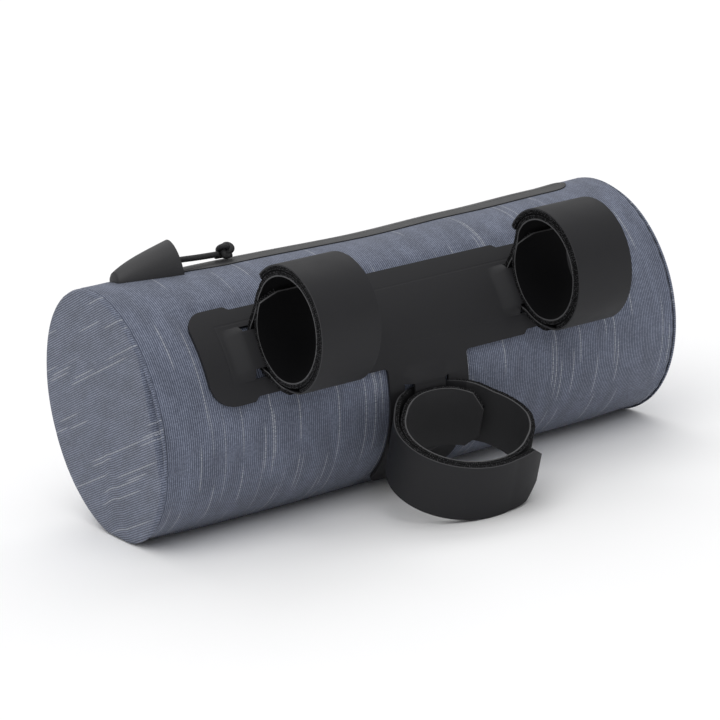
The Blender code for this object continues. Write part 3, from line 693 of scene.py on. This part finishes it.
def end_disc(side, sign):
    """A ribbed fabric disc with a softly rolled rim."""
    rows = spread(-1, 1, DISC_GRID)
    shape = flat_grid(rows, rows)
    squeeze = 2 * BAG_RADIUS ** 2
    for vertex in shape.verts:
        x, y = vertex.co.xy * BAG_RADIUS
        vertex.co = (x * math.sqrt(1 - y * y / squeeze), y * math.sqrt(1 - x * x / squeeze), 0)
    ribs_up = Vector((-math.sin(DISC_RIB_ANGLE), math.cos(DISC_RIB_ANGLE)))
    ribs_along = Vector((math.cos(DISC_RIB_ANGLE), math.sin(DISC_RIB_ANGLE)))
    keep_places(shape, lambda point: (point.xy.dot(ribs_up), point.xy.dot(ribs_along)))
    for vertex in shape.verts:
        place = vertex.co.xy
        angle = math.atan2(place.y, place.x)
        inside = disc_height(place) + (crease_depth(place) if sign < 0 else 0.0)
        edge = full_radius(sign * BAG_LENGTH / 2, angle) / BAG_RADIUS
        vertex.co = bag_point(sign * (BAG_LENGTH / 2 - inside), angle, place.length * edge)
    shape.normal_update()
    turned = [face for face in shape.faces if face.normal.x * sign < 0]
    bmesh.ops.reverse_faces(shape, faces=turned)
    disc = mesh_piece(shape, "end_disc_" + side, [SLATE_FABRIC], "shell_fabric", "end_panel_" + side)
    wall(disc, DISC_THICKNESS, -1)


# Zip, hood, slider and cord

def zip_half_width(x, side):
    """Width to one side of the slit: narrow under the hood and in front, round at the end."""
    if x < HOOD_MOUTH_X:
        return ZIP_HIDDEN_WIDTH / 2
    full = ZIP_TAPE_WIDTH / 2
    if side < 0:
        widened = smoothstep(x, HOOD_MOUTH_X, HOOD_MOUTH_X + ZIP_WIDENING)
        full = ZIP_MOUTH_WIDTH + (ZIP_FRONT_WIDTH - ZIP_MOUTH_WIDTH) * widened
    into_end = max(x - (ZIP_RIGHT_END - full), 0.0)
    return math.sqrt(max(full ** 2 - into_end ** 2, (1.5 * MM) ** 2))


def zip_height(x, across, half_width):
    """The strip's outer face above the fabric: coil ridges beside a fine slit, its edge drawn down."""
    ridge = COIL_HEIGHT * math.exp(-((abs(across) - COIL_WIDTH / 2) / COIL_WIDTH) ** 2 * 1.6)
    slit = SLIT_DEPTH * (1 - smoothstep(abs(across), 0.0, SLIT_WIDTH / 2))
    to_edge = min(half_width - abs(across), ZIP_RIGHT_END - x)
    drop = STRIP_EDGE_DROP * (1 - smoothstep(to_edge, 0.0, STRIP_EDGE_WIDTH))
    return STRIP_TOP + ridge - slit - drop


def zip_strip():
    """The coated strip over the closed zip."""
    round_start = ZIP_RIGHT_END - ZIP_TAPE_WIDTH / 2
    rows_x = spread(ZIP_LEFT_END, HOOD_MOUTH_X - GAP, 12) + spread(HOOD_MOUTH_X + GAP, round_start, 110)
    turn = spread(0, math.pi / 2, 20)[1:]
    rows_x += [round_start + ZIP_TAPE_WIDTH / 2 * math.sin(angle) for angle in turn]
    shares = [0, 0.012, 0.025, 0.05, 0.09, 0.14, 0.2, 0.28, 0.38, 0.5, 0.64, 0.78, 0.86, 0.92, 0.96, 1.0]
    rows_y = [-share for share in shares[:0:-1]] + shares
    shape = flat_grid(rows_x, rows_y)
    for vertex in shape.verts:
        x = vertex.co.x
        half_width = zip_half_width(x, vertex.co.y)
        across = vertex.co.y * half_width
        angle = ZIP_ANGLE + across / BAG_RADIUS
        vertex.co = bag_point(x, angle, shell_radius(x, angle) + zip_height(x, across, half_width))
    keep_places(shape, lambda point: (point.x, math.atan2(point.z, -point.y) * BAG_RADIUS))
    shape.normal_update()
    strip = mesh_piece(shape, "zip_strip", [ZIP_RUBBER], "zip_strip", "zip_tape_front", "zip_tape_back")
    wall(strip, STRIP_THICKNESS, -1).use_even_offset = False


def hood_point(share, side):
    """A point of the hood: share from the nose to the mouth, side from 0 to pi over the top."""
    half_width = GARAGE_WIDTH / 2 * (0.03 + 0.97 * share) ** 0.2 * smoothstep(share, -0.02, 0.02)
    height = GARAGE_HEIGHT * (0.1 + 0.9 * share) ** 0.62 * min(share / HOOD_NOSE, 1.0) ** 0.5
    above = height * math.sin(side)
    x = GARAGE_TIP_X + share * GARAGE_LENGTH - GARAGE_RAKE * share * above / GARAGE_HEIGHT
    angle = ZIP_ANGLE - half_width * math.cos(side) / BAG_RADIUS
    return bag_point(x, angle, shell_radius(x, angle) + 0.1 * GAP + above)


def zip_hood():
    """The moulded hood: a thin shell open underneath and at its mouth."""
    rows_share = [0.0, 0.004, 0.01, 0.02, 0.035] + spread(0.055, 1.0, 34)
    shape = flat_grid(rows_share, spread(0, math.pi, 41))
    for vertex in shape.verts:
        vertex.co = hood_point(vertex.co.x, vertex.co.y)
    bmesh.ops.remove_doubles(shape, verts=shape.verts, dist=0.01 * MM)
    bmesh.ops.recalc_face_normals(shape, faces=shape.faces)
    shape.normal_update()
    top = max(shape.faces, key=lambda face: face.calc_center_median().length)
    if top.normal.dot(direction(ZIP_ANGLE)) < 0:
        bmesh.ops.reverse_faces(shape, faces=shape.faces[:])
    hood = mesh_piece(shape, "zip_hood", [HOOD_RUBBER], "moulded_rubber", "zip_garage")
    wall(hood, GARAGE_WALL, -1)
    soften(hood, 0.3 * MM, 3)


def smooth_route(points, steps):
    """Points along a smooth curve through the given ones."""
    route = []
    ends = [points[0] * 2 - points[1]] + points + [points[-1] * 2 - points[-2]]
    for before, start, stop, after in zip(ends, ends[1:], ends[2:], ends[3:]):
        for step in range(steps):
            share = step / steps
            route.append(0.5 * (2 * start + (stop - before) * share
                                + (2 * before - 5 * start + 4 * stop - after) * share ** 2
                                + (3 * start - before - 3 * stop + after) * share ** 3))
    route.append(points[-1])
    return route


def round_curve(name, route, radius):
    """An open round cord along a route in the bag's frame."""
    curve = bpy.data.curves.new(name, 'CURVE')
    curve.dimensions = '3D'
    curve.bevel_depth = radius
    curve.bevel_resolution = 5
    curve.use_fill_caps = True
    spline = curve.splines.new('POLY')
    spline.points.add(len(route) - 1)
    for point, place in zip(spline.points, route):
        point.co = (*(BAG_PLACE @ place), 1)
    return curve


def knot_route():
    """An overhand knot: a three-lobed turn with its lead, its end tucked under."""
    points = [Vector((-4.4, -1.9, 0.9)), Vector((-2.6, -2.0, 1.25))]
    for degrees in range(205, 520, 12):
        turn = math.radians(degrees)
        x = math.sin(turn) + 2 * math.sin(2 * turn)
        y = math.cos(turn) - 2 * math.cos(2 * turn)
        points.append(Vector((x, y, -KNOT_DEPTH / KNOT_SCALE * math.sin(3 * turn))))
    points.append(Vector((1.9, -2.2, -0.9)))
    return smooth_route(points, 4)


def pull_cord():
    """The slider's cord, straight out of the hood, with the knot at its end."""
    stations = [(SLIDER_X + beyond * MM, height * MM) for beyond, height in CORD_ROUTE]
    places = [bag_point(x, ZIP_ANGLE, tape_top(x) + height) for x, height in stations]
    route = smooth_route(places, 4)
    cord = add_piece("knotted_cord", round_curve("knotted_cord", route, CORD_DIAMETER / 2),
                     [BRAIDED_CORD], "cord", "pull_cord")
    base = bag_point(KNOT_X, ZIP_ANGLE, tape_top(KNOT_X) + KNOT_HEIGHT)
    up = direction(ZIP_ANGLE)
    aside = along_girth(ZIP_ANGLE)
    turns = [base + (Vector((1, 0, 0)) * point.x + up * point.y) * KNOT_SCALE + aside * point.z * KNOT_DEPTH
             for point in knot_route()]
    knot = add_piece("cord_knot", round_curve("cord_knot", turns, CORD_DIAMETER / 2 * KNOT_CORD_SHARE),
                     [BRAIDED_CORD], "cord", "pull_knot")


# Strap plate

def rounded_outline(corners):
    """Points of a flat outline, each corner given as (x, girth, radius) and turned on an arc."""
    points = []
    count = len(corners)
    for place, (x, girth, radius) in enumerate(corners):
        here = Vector((x, girth))
        if radius <= 0:
            points.append(here)
            continue
        back = (Vector(corners[place - 1][:2]) - here).normalized()
        ahead = (Vector(corners[(place + 1) % count][:2]) - here).normalized()
        half = back.angle(ahead) / 2
        reach = radius / math.tan(half)
        centre = here + (back + ahead).normalized() * (radius / math.sin(half))
        start = here + back * reach - centre
        turn = start.angle_signed(here + ahead * reach - centre)
        steps = 4 if radius <= SMALL_CORNER else 12
        for step in range(steps + 1):
            spin = Matrix.Rotation(-turn * step / steps, 2)
            points.append(centre + spin @ start)
    return points


def plate_outline():
    """The T's corners, from the middle of the top edge round to the right, then mirrored."""
    top = WING_TOP_ANGLE * BAG_RADIUS
    bottom = WING_BOTTOM_ANGLE * BAG_RADIUS
    stem_end = STEM_END_ANGLE * BAG_RADIUS
    notch_in = BAR_SLOT_SPACING - SLOT_LENGTH / 2
    notch_out = BAR_SLOT_SPACING + SLOT_LENGTH / 2
    right = [
        (notch_in, top, NOTCH_CORNER),
        (notch_in + NOTCH_DEPTH, top - NOTCH_DEPTH, NOTCH_CORNER),
        (notch_out, top - NOTCH_DEPTH, NOTCH_CORNER),
        (notch_out + NOTCH_DEPTH, top, NOTCH_CORNER),
        (WING_HALF_LENGTH, top, WING_TOP_CORNER),
        (WING_HALF_LENGTH, bottom, WING_BOTTOM_CORNER),
        (notch_out + NOTCH_DEPTH, bottom, NOTCH_CORNER),
        (notch_out, bottom + NOTCH_DEPTH, NOTCH_CORNER),
        (notch_in + NOTCH_DEPTH, bottom + NOTCH_DEPTH, NOTCH_CORNER),
        (notch_in, bottom, NOTCH_CORNER),
        (STEM_HALF_WIDTH, bottom, SMALL_CORNER),
        (STEM_HALF_WIDTH, stem_end, STEM_CORNER),
    ]
    left = [(-x, girth, radius) for x, girth, radius in reversed(right)]
    return [point + Vector((PLATE_X, 0)) for point in rounded_outline(right + left)]


def slot_outlines(loop):
    """The two slots of one strap, across its direction of travel."""
    slots = []
    for sign in (-1, 1):
        run = [sign * SLOT_SPACING / 2 + side * SLOT_OPENING / 2 for side in (-1, 1, 1, -1)]
        width = [side * SLOT_LENGTH / 2 for side in (-1, -1, 1, 1)]
        middle = Vector((loop.slot_x, loop.seat * BAG_RADIUS))
        pairs = zip(width, run) if loop.girth else zip(run, width)
        slots.append([middle + Vector(pair) for pair in pairs])
    return slots


def bridge_share(loop, x, angle):
    """1 on the bridge that the strap passes behind, 0 away from it."""
    along = (angle - loop.seat) * BAG_RADIUS
    across = x - loop.slot_x
    if not loop.girth:
        along, across = across, along
    run = smoothstep(abs(along), (SLOT_SPACING - SLOT_OPENING) / 2, (SLOT_SPACING + SLOT_OPENING) / 2)
    width = smoothstep(abs(across), STRAP_WIDTH / 2 + BAR_STRAP_DRIFT + GAP,
                       SLOT_LENGTH / 2 + BRIDGE_RAMP)
    return (1 - run) * (1 - width)


def plate_radius(x, angle):
    return SHEET_RADIUS + BRIDGE_LIFT * max(bridge_share(loop, x, angle) for loop in LOOPS)


def plate_cuts():
    """Places of the plate's cross lines, along the bag and round it."""
    run_cuts = [sign * (SLOT_SPACING + side * SLOT_OPENING) / 2 for sign in (-1, 1) for side in (-1, 1)]
    ramp_start = STRAP_WIDTH / 2 + BAR_STRAP_DRIFT + GAP
    ramp_end = SLOT_LENGTH / 2 + BRIDGE_RAMP
    width_cuts = [sign * edge for edge in spread(ramp_start, ramp_end, 9) for sign in (-1, 1)]
    cuts_x = [loop.slot_x + cut for loop in BAR_LOOPS for cut in width_cuts]
    cuts_x += [TUBE_X + cut for cut in run_cuts]
    cuts_girth = [BAR_SEAT * BAG_RADIUS + cut for cut in run_cuts]
    cuts_girth += [TUBE_SEAT * BAG_RADIUS + cut for cut in width_cuts]
    steps = int((WING_TOP_ANGLE - STEM_END_ANGLE) / PLATE_STEP_ANGLE)
    cuts_girth += [(STEM_END_ANGLE + PLATE_STEP_ANGLE * (step + 0.5)) * BAG_RADIUS for step in range(steps)]
    return cuts_x, cuts_girth


def strap_plate():
    """The T-shaped moulded sheet with its slots, wrapped on the bag."""
    shape = bmesh.new()
    for outline in [plate_outline()] + [slot for loop in LOOPS for slot in slot_outlines(loop)]:
        ring = [shape.verts.new((point.x, point.y, 0)) for point in outline]
        for place, vertex in enumerate(ring):
            shape.edges.new((vertex, ring[(place + 1) % len(ring)]))
    bmesh.ops.triangle_fill(shape, use_beauty=True, use_dissolve=False, edges=shape.edges[:])
    bmesh.ops.dissolve_limit(shape, angle_limit=math.radians(1), verts=shape.verts, edges=shape.edges)
    cuts_x, cuts_girth = plate_cuts()
    for x in cuts_x:
        cut_at(shape, (x, 0, 0), (1, 0, 0))
    for girth in cuts_girth:
        cut_at(shape, (0, girth, 0), (0, 1, 0))
    shape.normal_update()
    bmesh.ops.reverse_faces(shape, faces=[face for face in shape.faces if face.normal.z < 0])
    keep_places(shape)
    for vertex in shape.verts:
        angle = vertex.co.y / BAG_RADIUS
        vertex.co = bag_point(vertex.co.x, angle, plate_radius(vertex.co.x, angle))
    plate = mesh_piece(shape, "strap_plate", [PLATE_RUBBER], "plate", "mount_plate")
    wall(plate, PLATE_THICKNESS, 1)
    soften(plate, 0.3 * MM)


# Straps

def layer_inset(loop, turn):
    """How far inside the loop's outer layer the strap lies at an angle round the loop."""
    covered_to = loop.outer_end - 2 * math.pi
    table = [
        (loop.inner_end, TONGUE_INSET + LAYER_PITCH * 0.4),
        (0.0, TONGUE_INSET),
        (math.radians(42), LAYER_PITCH * 1.15),
        (math.radians(90), LAYER_PITCH),
        (covered_to, LAYER_PITCH),
        (covered_to + EASE_OUT_ANGLE, 0.0),
        (loop.outer_end - math.radians(32), 0.0),
        (loop.outer_end, -loop.flare),
    ]
    for (start, inset), (stop, next_inset) in zip(table, table[1:]):
        if turn <= stop:
            share = (turn - start) / (stop - start)
            return inset + (next_inset - inset) * share
    return table[-1][1]


def strap_point(loop, turn, across):
    """A point of the strap's middle surface, across its width, at an angle round the loop."""
    inset = layer_inset(loop, turn)
    half_depth = (loop.depth - STRAP_THICKNESS) / 2
    half_span = (loop.span - STRAP_THICKNESS) / 2
    out = BEHIND_RADIUS + half_depth - (half_depth - inset) * math.cos(turn)
    side = -(half_span - inset) * math.sin(turn)
    if loop.girth and turn > math.pi and math.cos(turn) > 0:
        fall = 1 - smoothstep(side, RISE_TOP, half_span)
        out += LOOP_RISE * smoothstep(side, RISE_START, RISE_TOP) * fall
    if abs(turn - 2 * math.pi) < math.pi / 2:
        seat = math.sqrt(BEHIND_RADIUS ** 2 - side ** 2) if loop.girth else BEHIND_RADIUS
        out = seat + (out - seat) * smoothstep(abs(side), STRAP_HUG_START, STRAP_HUG_END)
    lean = loop.seat + loop.droop
    share = smoothstep(out - BEHIND_RADIUS, 0, STRAP_STRAIGHTEN)
    beyond = direction(loop.seat) * BEHIND_RADIUS + direction(lean) * (out - BEHIND_RADIUS)
    if loop.girth:
        level = direction(loop.seat) * out + along_girth(loop.seat) * side
        drooped = beyond + along_girth(lean) * side
        return Vector((loop.strap_x + across, 0, 0)) + level.lerp(drooped, share)
    curved = bag_point(0, loop.seat + across / BEHIND_RADIUS, out)
    return Vector((loop.strap_x + side, 0, 0)) + curved.lerp(beyond + along_girth(lean) * across, share)


def lifted_point(loop, turn, across, lift):
    """The strap's point moved out of the loop, at right angles to the strap."""
    nudge = math.radians(1.5)
    run = strap_point(loop, turn + nudge, across) - strap_point(loop, turn - nudge, across)
    width = strap_point(loop, turn, across + MM) - strap_point(loop, turn, across - MM)
    outward = run.cross(width).normalized() * (-1 if loop.girth else 1)
    return strap_point(loop, turn, across) + outward * lift


def strap_turns(loop, start, stop, step):
    """Angles of the cross lines, three times closer where the strap passes the slots."""
    turns = [start]
    while turns[-1] < stop:
        near_slots = abs(turns[-1] - 2 * math.pi) < math.radians(36)
        turns.append(turns[-1] + (step / 3 if near_slots else step))
    turns[-1] = stop
    return turns


def mean_radius(loop):
    return (loop.depth + loop.span) / 4 - LAYER_PITCH


def chamfer_ends(shape, ends):
    """Cuts the corners off a flat band's ends, each given as (place, outward sign)."""
    for end, outward in ends:
        for side in (-1, 1):
            corner = (end - outward * STRAP_CHAMFER, side * STRAP_WIDTH / 2, 0)
            cut_at(shape, corner, (outward, side, 0), drop_outer=True)


def skin_turn(loop):
    """Where the skin crosses from the loop's inside to its outside."""
    return BAR_SKIN_TURN if loop.girth else TUBE_SKIN_TURN


def strap_skin(loop):
    """The smooth skin: on the loop's inside along the inner layer, on its outside along the outer one."""
    turns = strap_turns(loop, loop.inner_end, loop.outer_end, SKIN_STEP)
    radius = mean_radius(loop)
    shape = flat_grid([turn * radius for turn in turns], spread(-STRAP_WIDTH / 2, STRAP_WIDTH / 2, 9))
    chamfer_ends(shape, ((loop.inner_end * radius, -1), (loop.outer_end * radius, 1)))
    keep_places(shape)
    for face in shape.faces:
        if face.calc_center_median().x < skin_turn(loop)[0] * radius:
            face.material_index = 2
    face_lift = (STRAP_THICKNESS - SKIN_THICKNESS) / 2
    for vertex in shape.verts:
        turn = vertex.co.x / radius
        side = 2 * smoothstep(turn, *skin_turn(loop)) - 1
        vertex.co = lifted_point(loop, turn, vertex.co.y, face_lift * side)
    # The bar loops' insides take a far darker copy of the lining, as painted shade for their dim insides;
    # the tube loop keeps the plain lining.
    lining = BAR_LINING_PAINTED_SHADE if loop.girth else TUBE_LINING
    finishes = [STRAP_SKIN, STRAP_HEM, lining, STRAP_EDGE]
    skin = mesh_piece(shape, loop.name + "_skin", finishes, "strap", loop.name)
    wall(skin, SKIN_THICKNESS, 0, 1)
    soften(skin, 0.12 * MM)


def band_section(low, high, half_width):
    """Corner points round a band's section, as (across, lift)."""
    across = spread(-half_width, half_width, 7)
    rise = spread(low, high, 5)
    return ([(place, high) for place in across] + [(half_width, lift) for lift in rise[-2::-1]]
            + [(place, low) for place in across[-2::-1]] + [(-half_width, lift) for lift in rise[1:-1]])


def strap_pile(loop, part, start, stop, low, high, hooks):
    """The fuzzy band beside a skin, its edges rough, with a row of hooks along both rims."""
    turns = strap_turns(loop, start, stop, PILE_STEP)
    half_width = STRAP_WIDTH / 2 - PILE_INSET
    section = band_section(low, high, half_width)
    shape = flat_grid(turns, list(range(len(section) + 1)))
    for vertex in shape.verts:
        turn = vertex.co.x
        across, lift = section[round(vertex.co.y) % len(section)]
        seed = Vector((turn * mean_radius(loop), across, lift)) / FUZZ_SIZE
        trim = end_trim(loop, turn)
        across = max(-trim, min(trim, across))
        on_rim = smoothstep(abs(across), half_width - 1.5 * MM, half_width)
        across += math.copysign(PILE_ROUGHNESS * on_rim * noise.noise(seed), across)
        lift += PILE_ROUGHNESS * 0.5 * noise.noise(seed + Vector((7, 0, 0)))
        vertex.co = lifted_point(loop, turn, across, lift)
    bmesh.ops.remove_doubles(shape, verts=shape.verts, dist=0.002 * MM)
    bmesh.ops.holes_fill(shape, edges=[edge for edge in shape.edges if edge.is_boundary], sides=0)
    bmesh.ops.recalc_face_normals(shape, faces=shape.faces)
    for hook_turn, hook_across, hook_lift in hooks:
        place = lifted_point(loop, hook_turn, hook_across, hook_lift)
        tuft = bmesh.ops.create_icosphere(shape, subdivisions=1, radius=HOOK_SIZE,
                                          matrix=Matrix.Translation(place))
        for face in {face for vertex in tuft["verts"] for face in vertex.link_faces}:
            face.material_index = 1
    return mesh_piece(shape, f"{loop.name}_pile_{part}", [STRAP_PILE, HOOK_ENDS], "strap", loop.name)


def end_trim(loop, turn):
    """Half width left for the pile near the strap's chamfered ends."""
    radius = mean_radius(loop)
    to_end = min(turn - loop.inner_end, loop.outer_end - turn) * radius
    return STRAP_WIDTH / 2 - PILE_INSET - max(STRAP_CHAMFER - to_end, 0.0) - 0.0001 * MM


def rim_hooks(loop, start, stop, low, high, dice):
    """Places of the small hooks that show along both rims of a pile band."""
    hooks = []
    step = HOOK_PITCH / mean_radius(loop)
    rows = max(int((high - low) / HOOK_ROW_HEIGHT), 1)
    for sign in (-1, 1):
        for row in range(rows):
            turn = start + step * dice.uniform(0.3, 1.0)
            while turn < stop - step * 0.3:
                lift = low + (high - low) * (row + 0.5) / rows + dice.uniform(-0.12, 0.12) * MM
                across = sign * (end_trim(loop, turn) - dice.uniform(-0.05, 0.2) * MM)
                hooks.append((turn, across, lift))
                turn += step * dice.uniform(0.8, 1.25)
    return hooks


def strap(loop, dice):
    """One hook-and-loop strap: its skin and the two stretches of its pile."""
    strap_skin(loop)
    half = STRAP_THICKNESS / 2
    leave, arrive = skin_turn(loop)
    stretches = (
        ("inner", loop.inner_end + math.radians(1), leave + math.radians(8), SKIN_THICKNESS - half, half),
        ("outer", arrive - math.radians(6), loop.outer_end - math.radians(1), -half, half - SKIN_THICKNESS),
    )
    for part, start, stop, low, high in stretches:
        hooks = rim_hooks(loop, start, stop, low, high, dice)
        strap_pile(loop, part, start, stop, low, high, hooks)


# Floor, light and camera

def studio():
    """Pale floor, soft light from above, and the camera."""
    shape = bmesh.new()
    bmesh.ops.create_grid(shape, x_segments=1, y_segments=1, size=6.0)
    mesh = bpy.data.meshes.new("floor")
    shape.to_mesh(mesh)
    shape.free()
    floor = bpy.data.objects.new("floor", mesh)
    bpy.context.scene.collection.objects.link(floor)
    finish, _, shader = new_material("pale_floor")
    set_inputs(shader, Base_Color=(0.95, 0.95, 0.955, 1), Roughness=0.9)
    mesh.materials.append(finish)

    world = bpy.data.worlds.new("studio")
    world.use_nodes = True
    set_inputs(world.node_tree.nodes["Background"], Color=(1, 1, 1, 1), Strength=0.5)
    bpy.context.scene.world = world

    lights = (
        ("key", (-0.45, -0.55, 1.3), 65, 1.5),
        ("back", (0.4, 0.7, 1.1), 50, 0.7),
    )
    for name, source, softness, power in lights:
        lamp = bpy.data.lights.new(name, 'SUN')
        lamp.angle = math.radians(softness)
        lamp.energy = power
        light = bpy.data.objects.new(name, lamp)
        light.rotation_euler = Vector(source).to_track_quat('Z', 'Y').to_euler()
        bpy.context.scene.collection.objects.link(light)

    camera_data = bpy.data.cameras.new("camera")
    camera_data.lens = 135.57
    camera_data.sensor_width = 36.0
    camera_data.shift_x = -0.00926
    camera_data.shift_y = -0.01121
    camera_data.clip_start = 0.01
    camera = bpy.data.objects.new("camera", camera_data)
    camera.location = (-0.5321, -0.90399, 0.3166)
    camera.rotation_euler = tuple(math.radians(angle) for angle in (75.932, 5.901, -31.25))
    bpy.context.scene.collection.objects.link(camera)
    bpy.context.scene.camera = camera
    bpy.context.scene.view_settings.view_transform = 'Standard'


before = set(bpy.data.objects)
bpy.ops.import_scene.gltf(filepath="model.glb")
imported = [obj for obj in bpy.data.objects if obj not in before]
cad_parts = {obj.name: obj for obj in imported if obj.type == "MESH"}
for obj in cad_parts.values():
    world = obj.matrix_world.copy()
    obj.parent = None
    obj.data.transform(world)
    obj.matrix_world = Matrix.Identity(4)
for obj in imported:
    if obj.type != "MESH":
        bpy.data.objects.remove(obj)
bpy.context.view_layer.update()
studio()

SLUB_WEAVE = slub_weave_group()
FINE_GRAIN = fine_grain_group()
SLATE_FABRIC = slate_fabric()
PLATE_RUBBER = plate_finish()
HOOD_RUBBER = grained("hood_rubber", (0.031, 0.031, 0.033), 0.3, 0.55, 0.05 * MM)[0]
ZIP_RUBBER = grained("zip_rubber", (0.024, 0.024, 0.026), 0.25, 0.5, 0.03 * MM, "weave")[0]
STRAP_SKIN = grained("strap_skin", (0.017, 0.017, 0.019), 0.25, 0.6, 0.03 * MM, "weave", 0.22)[0]
STRAP_HEM = grained("strap_hem", (0.034, 0.034, 0.037), 0.4, 0.7, 0.03 * MM)[0]
# Lining copy darkened well below the tube lining: painted shade inside the bar loops.
BAR_LINING_PAINTED_SHADE = grained("strap_lining", (0.004, 0.004, 0.0045), 0.18, 0.75, 0.02 * MM, "weave", 0.05)[0]
TUBE_LINING = grained("tube_lining", (0.022, 0.022, 0.024), 0.18, 0.65, 0.02 * MM, "weave")[0]
STRAP_EDGE = grained("strap_edge", (0.075, 0.075, 0.078), 0.5, 0.7, 0.03 * MM)[0]
HOOK_ENDS = grained("hook_ends", (0.020, 0.020, 0.023), 0.5, 0.5, 0.03 * MM)[0]
SLIDER_PAINT = grained("slider_paint", (0.012, 0.012, 0.013), 0.1, 0.35, 0.01 * MM)[0]
STRAP_PILE = pile_finish()
BRAIDED_CORD = cord_finish()

pull_cord()
shell_body()
for disc_side, disc_sign in (("left", -1), ("right", 1)):
    end_disc(disc_side, disc_sign)
zip_strip()
zip_hood()
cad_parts["zip_slider"].material_slots[0].material = SLIDER_PAINT
strap_plate()
hook_dice = random.Random(7)
for strap_loop in LOOPS:
    strap(strap_loop, hook_dice)
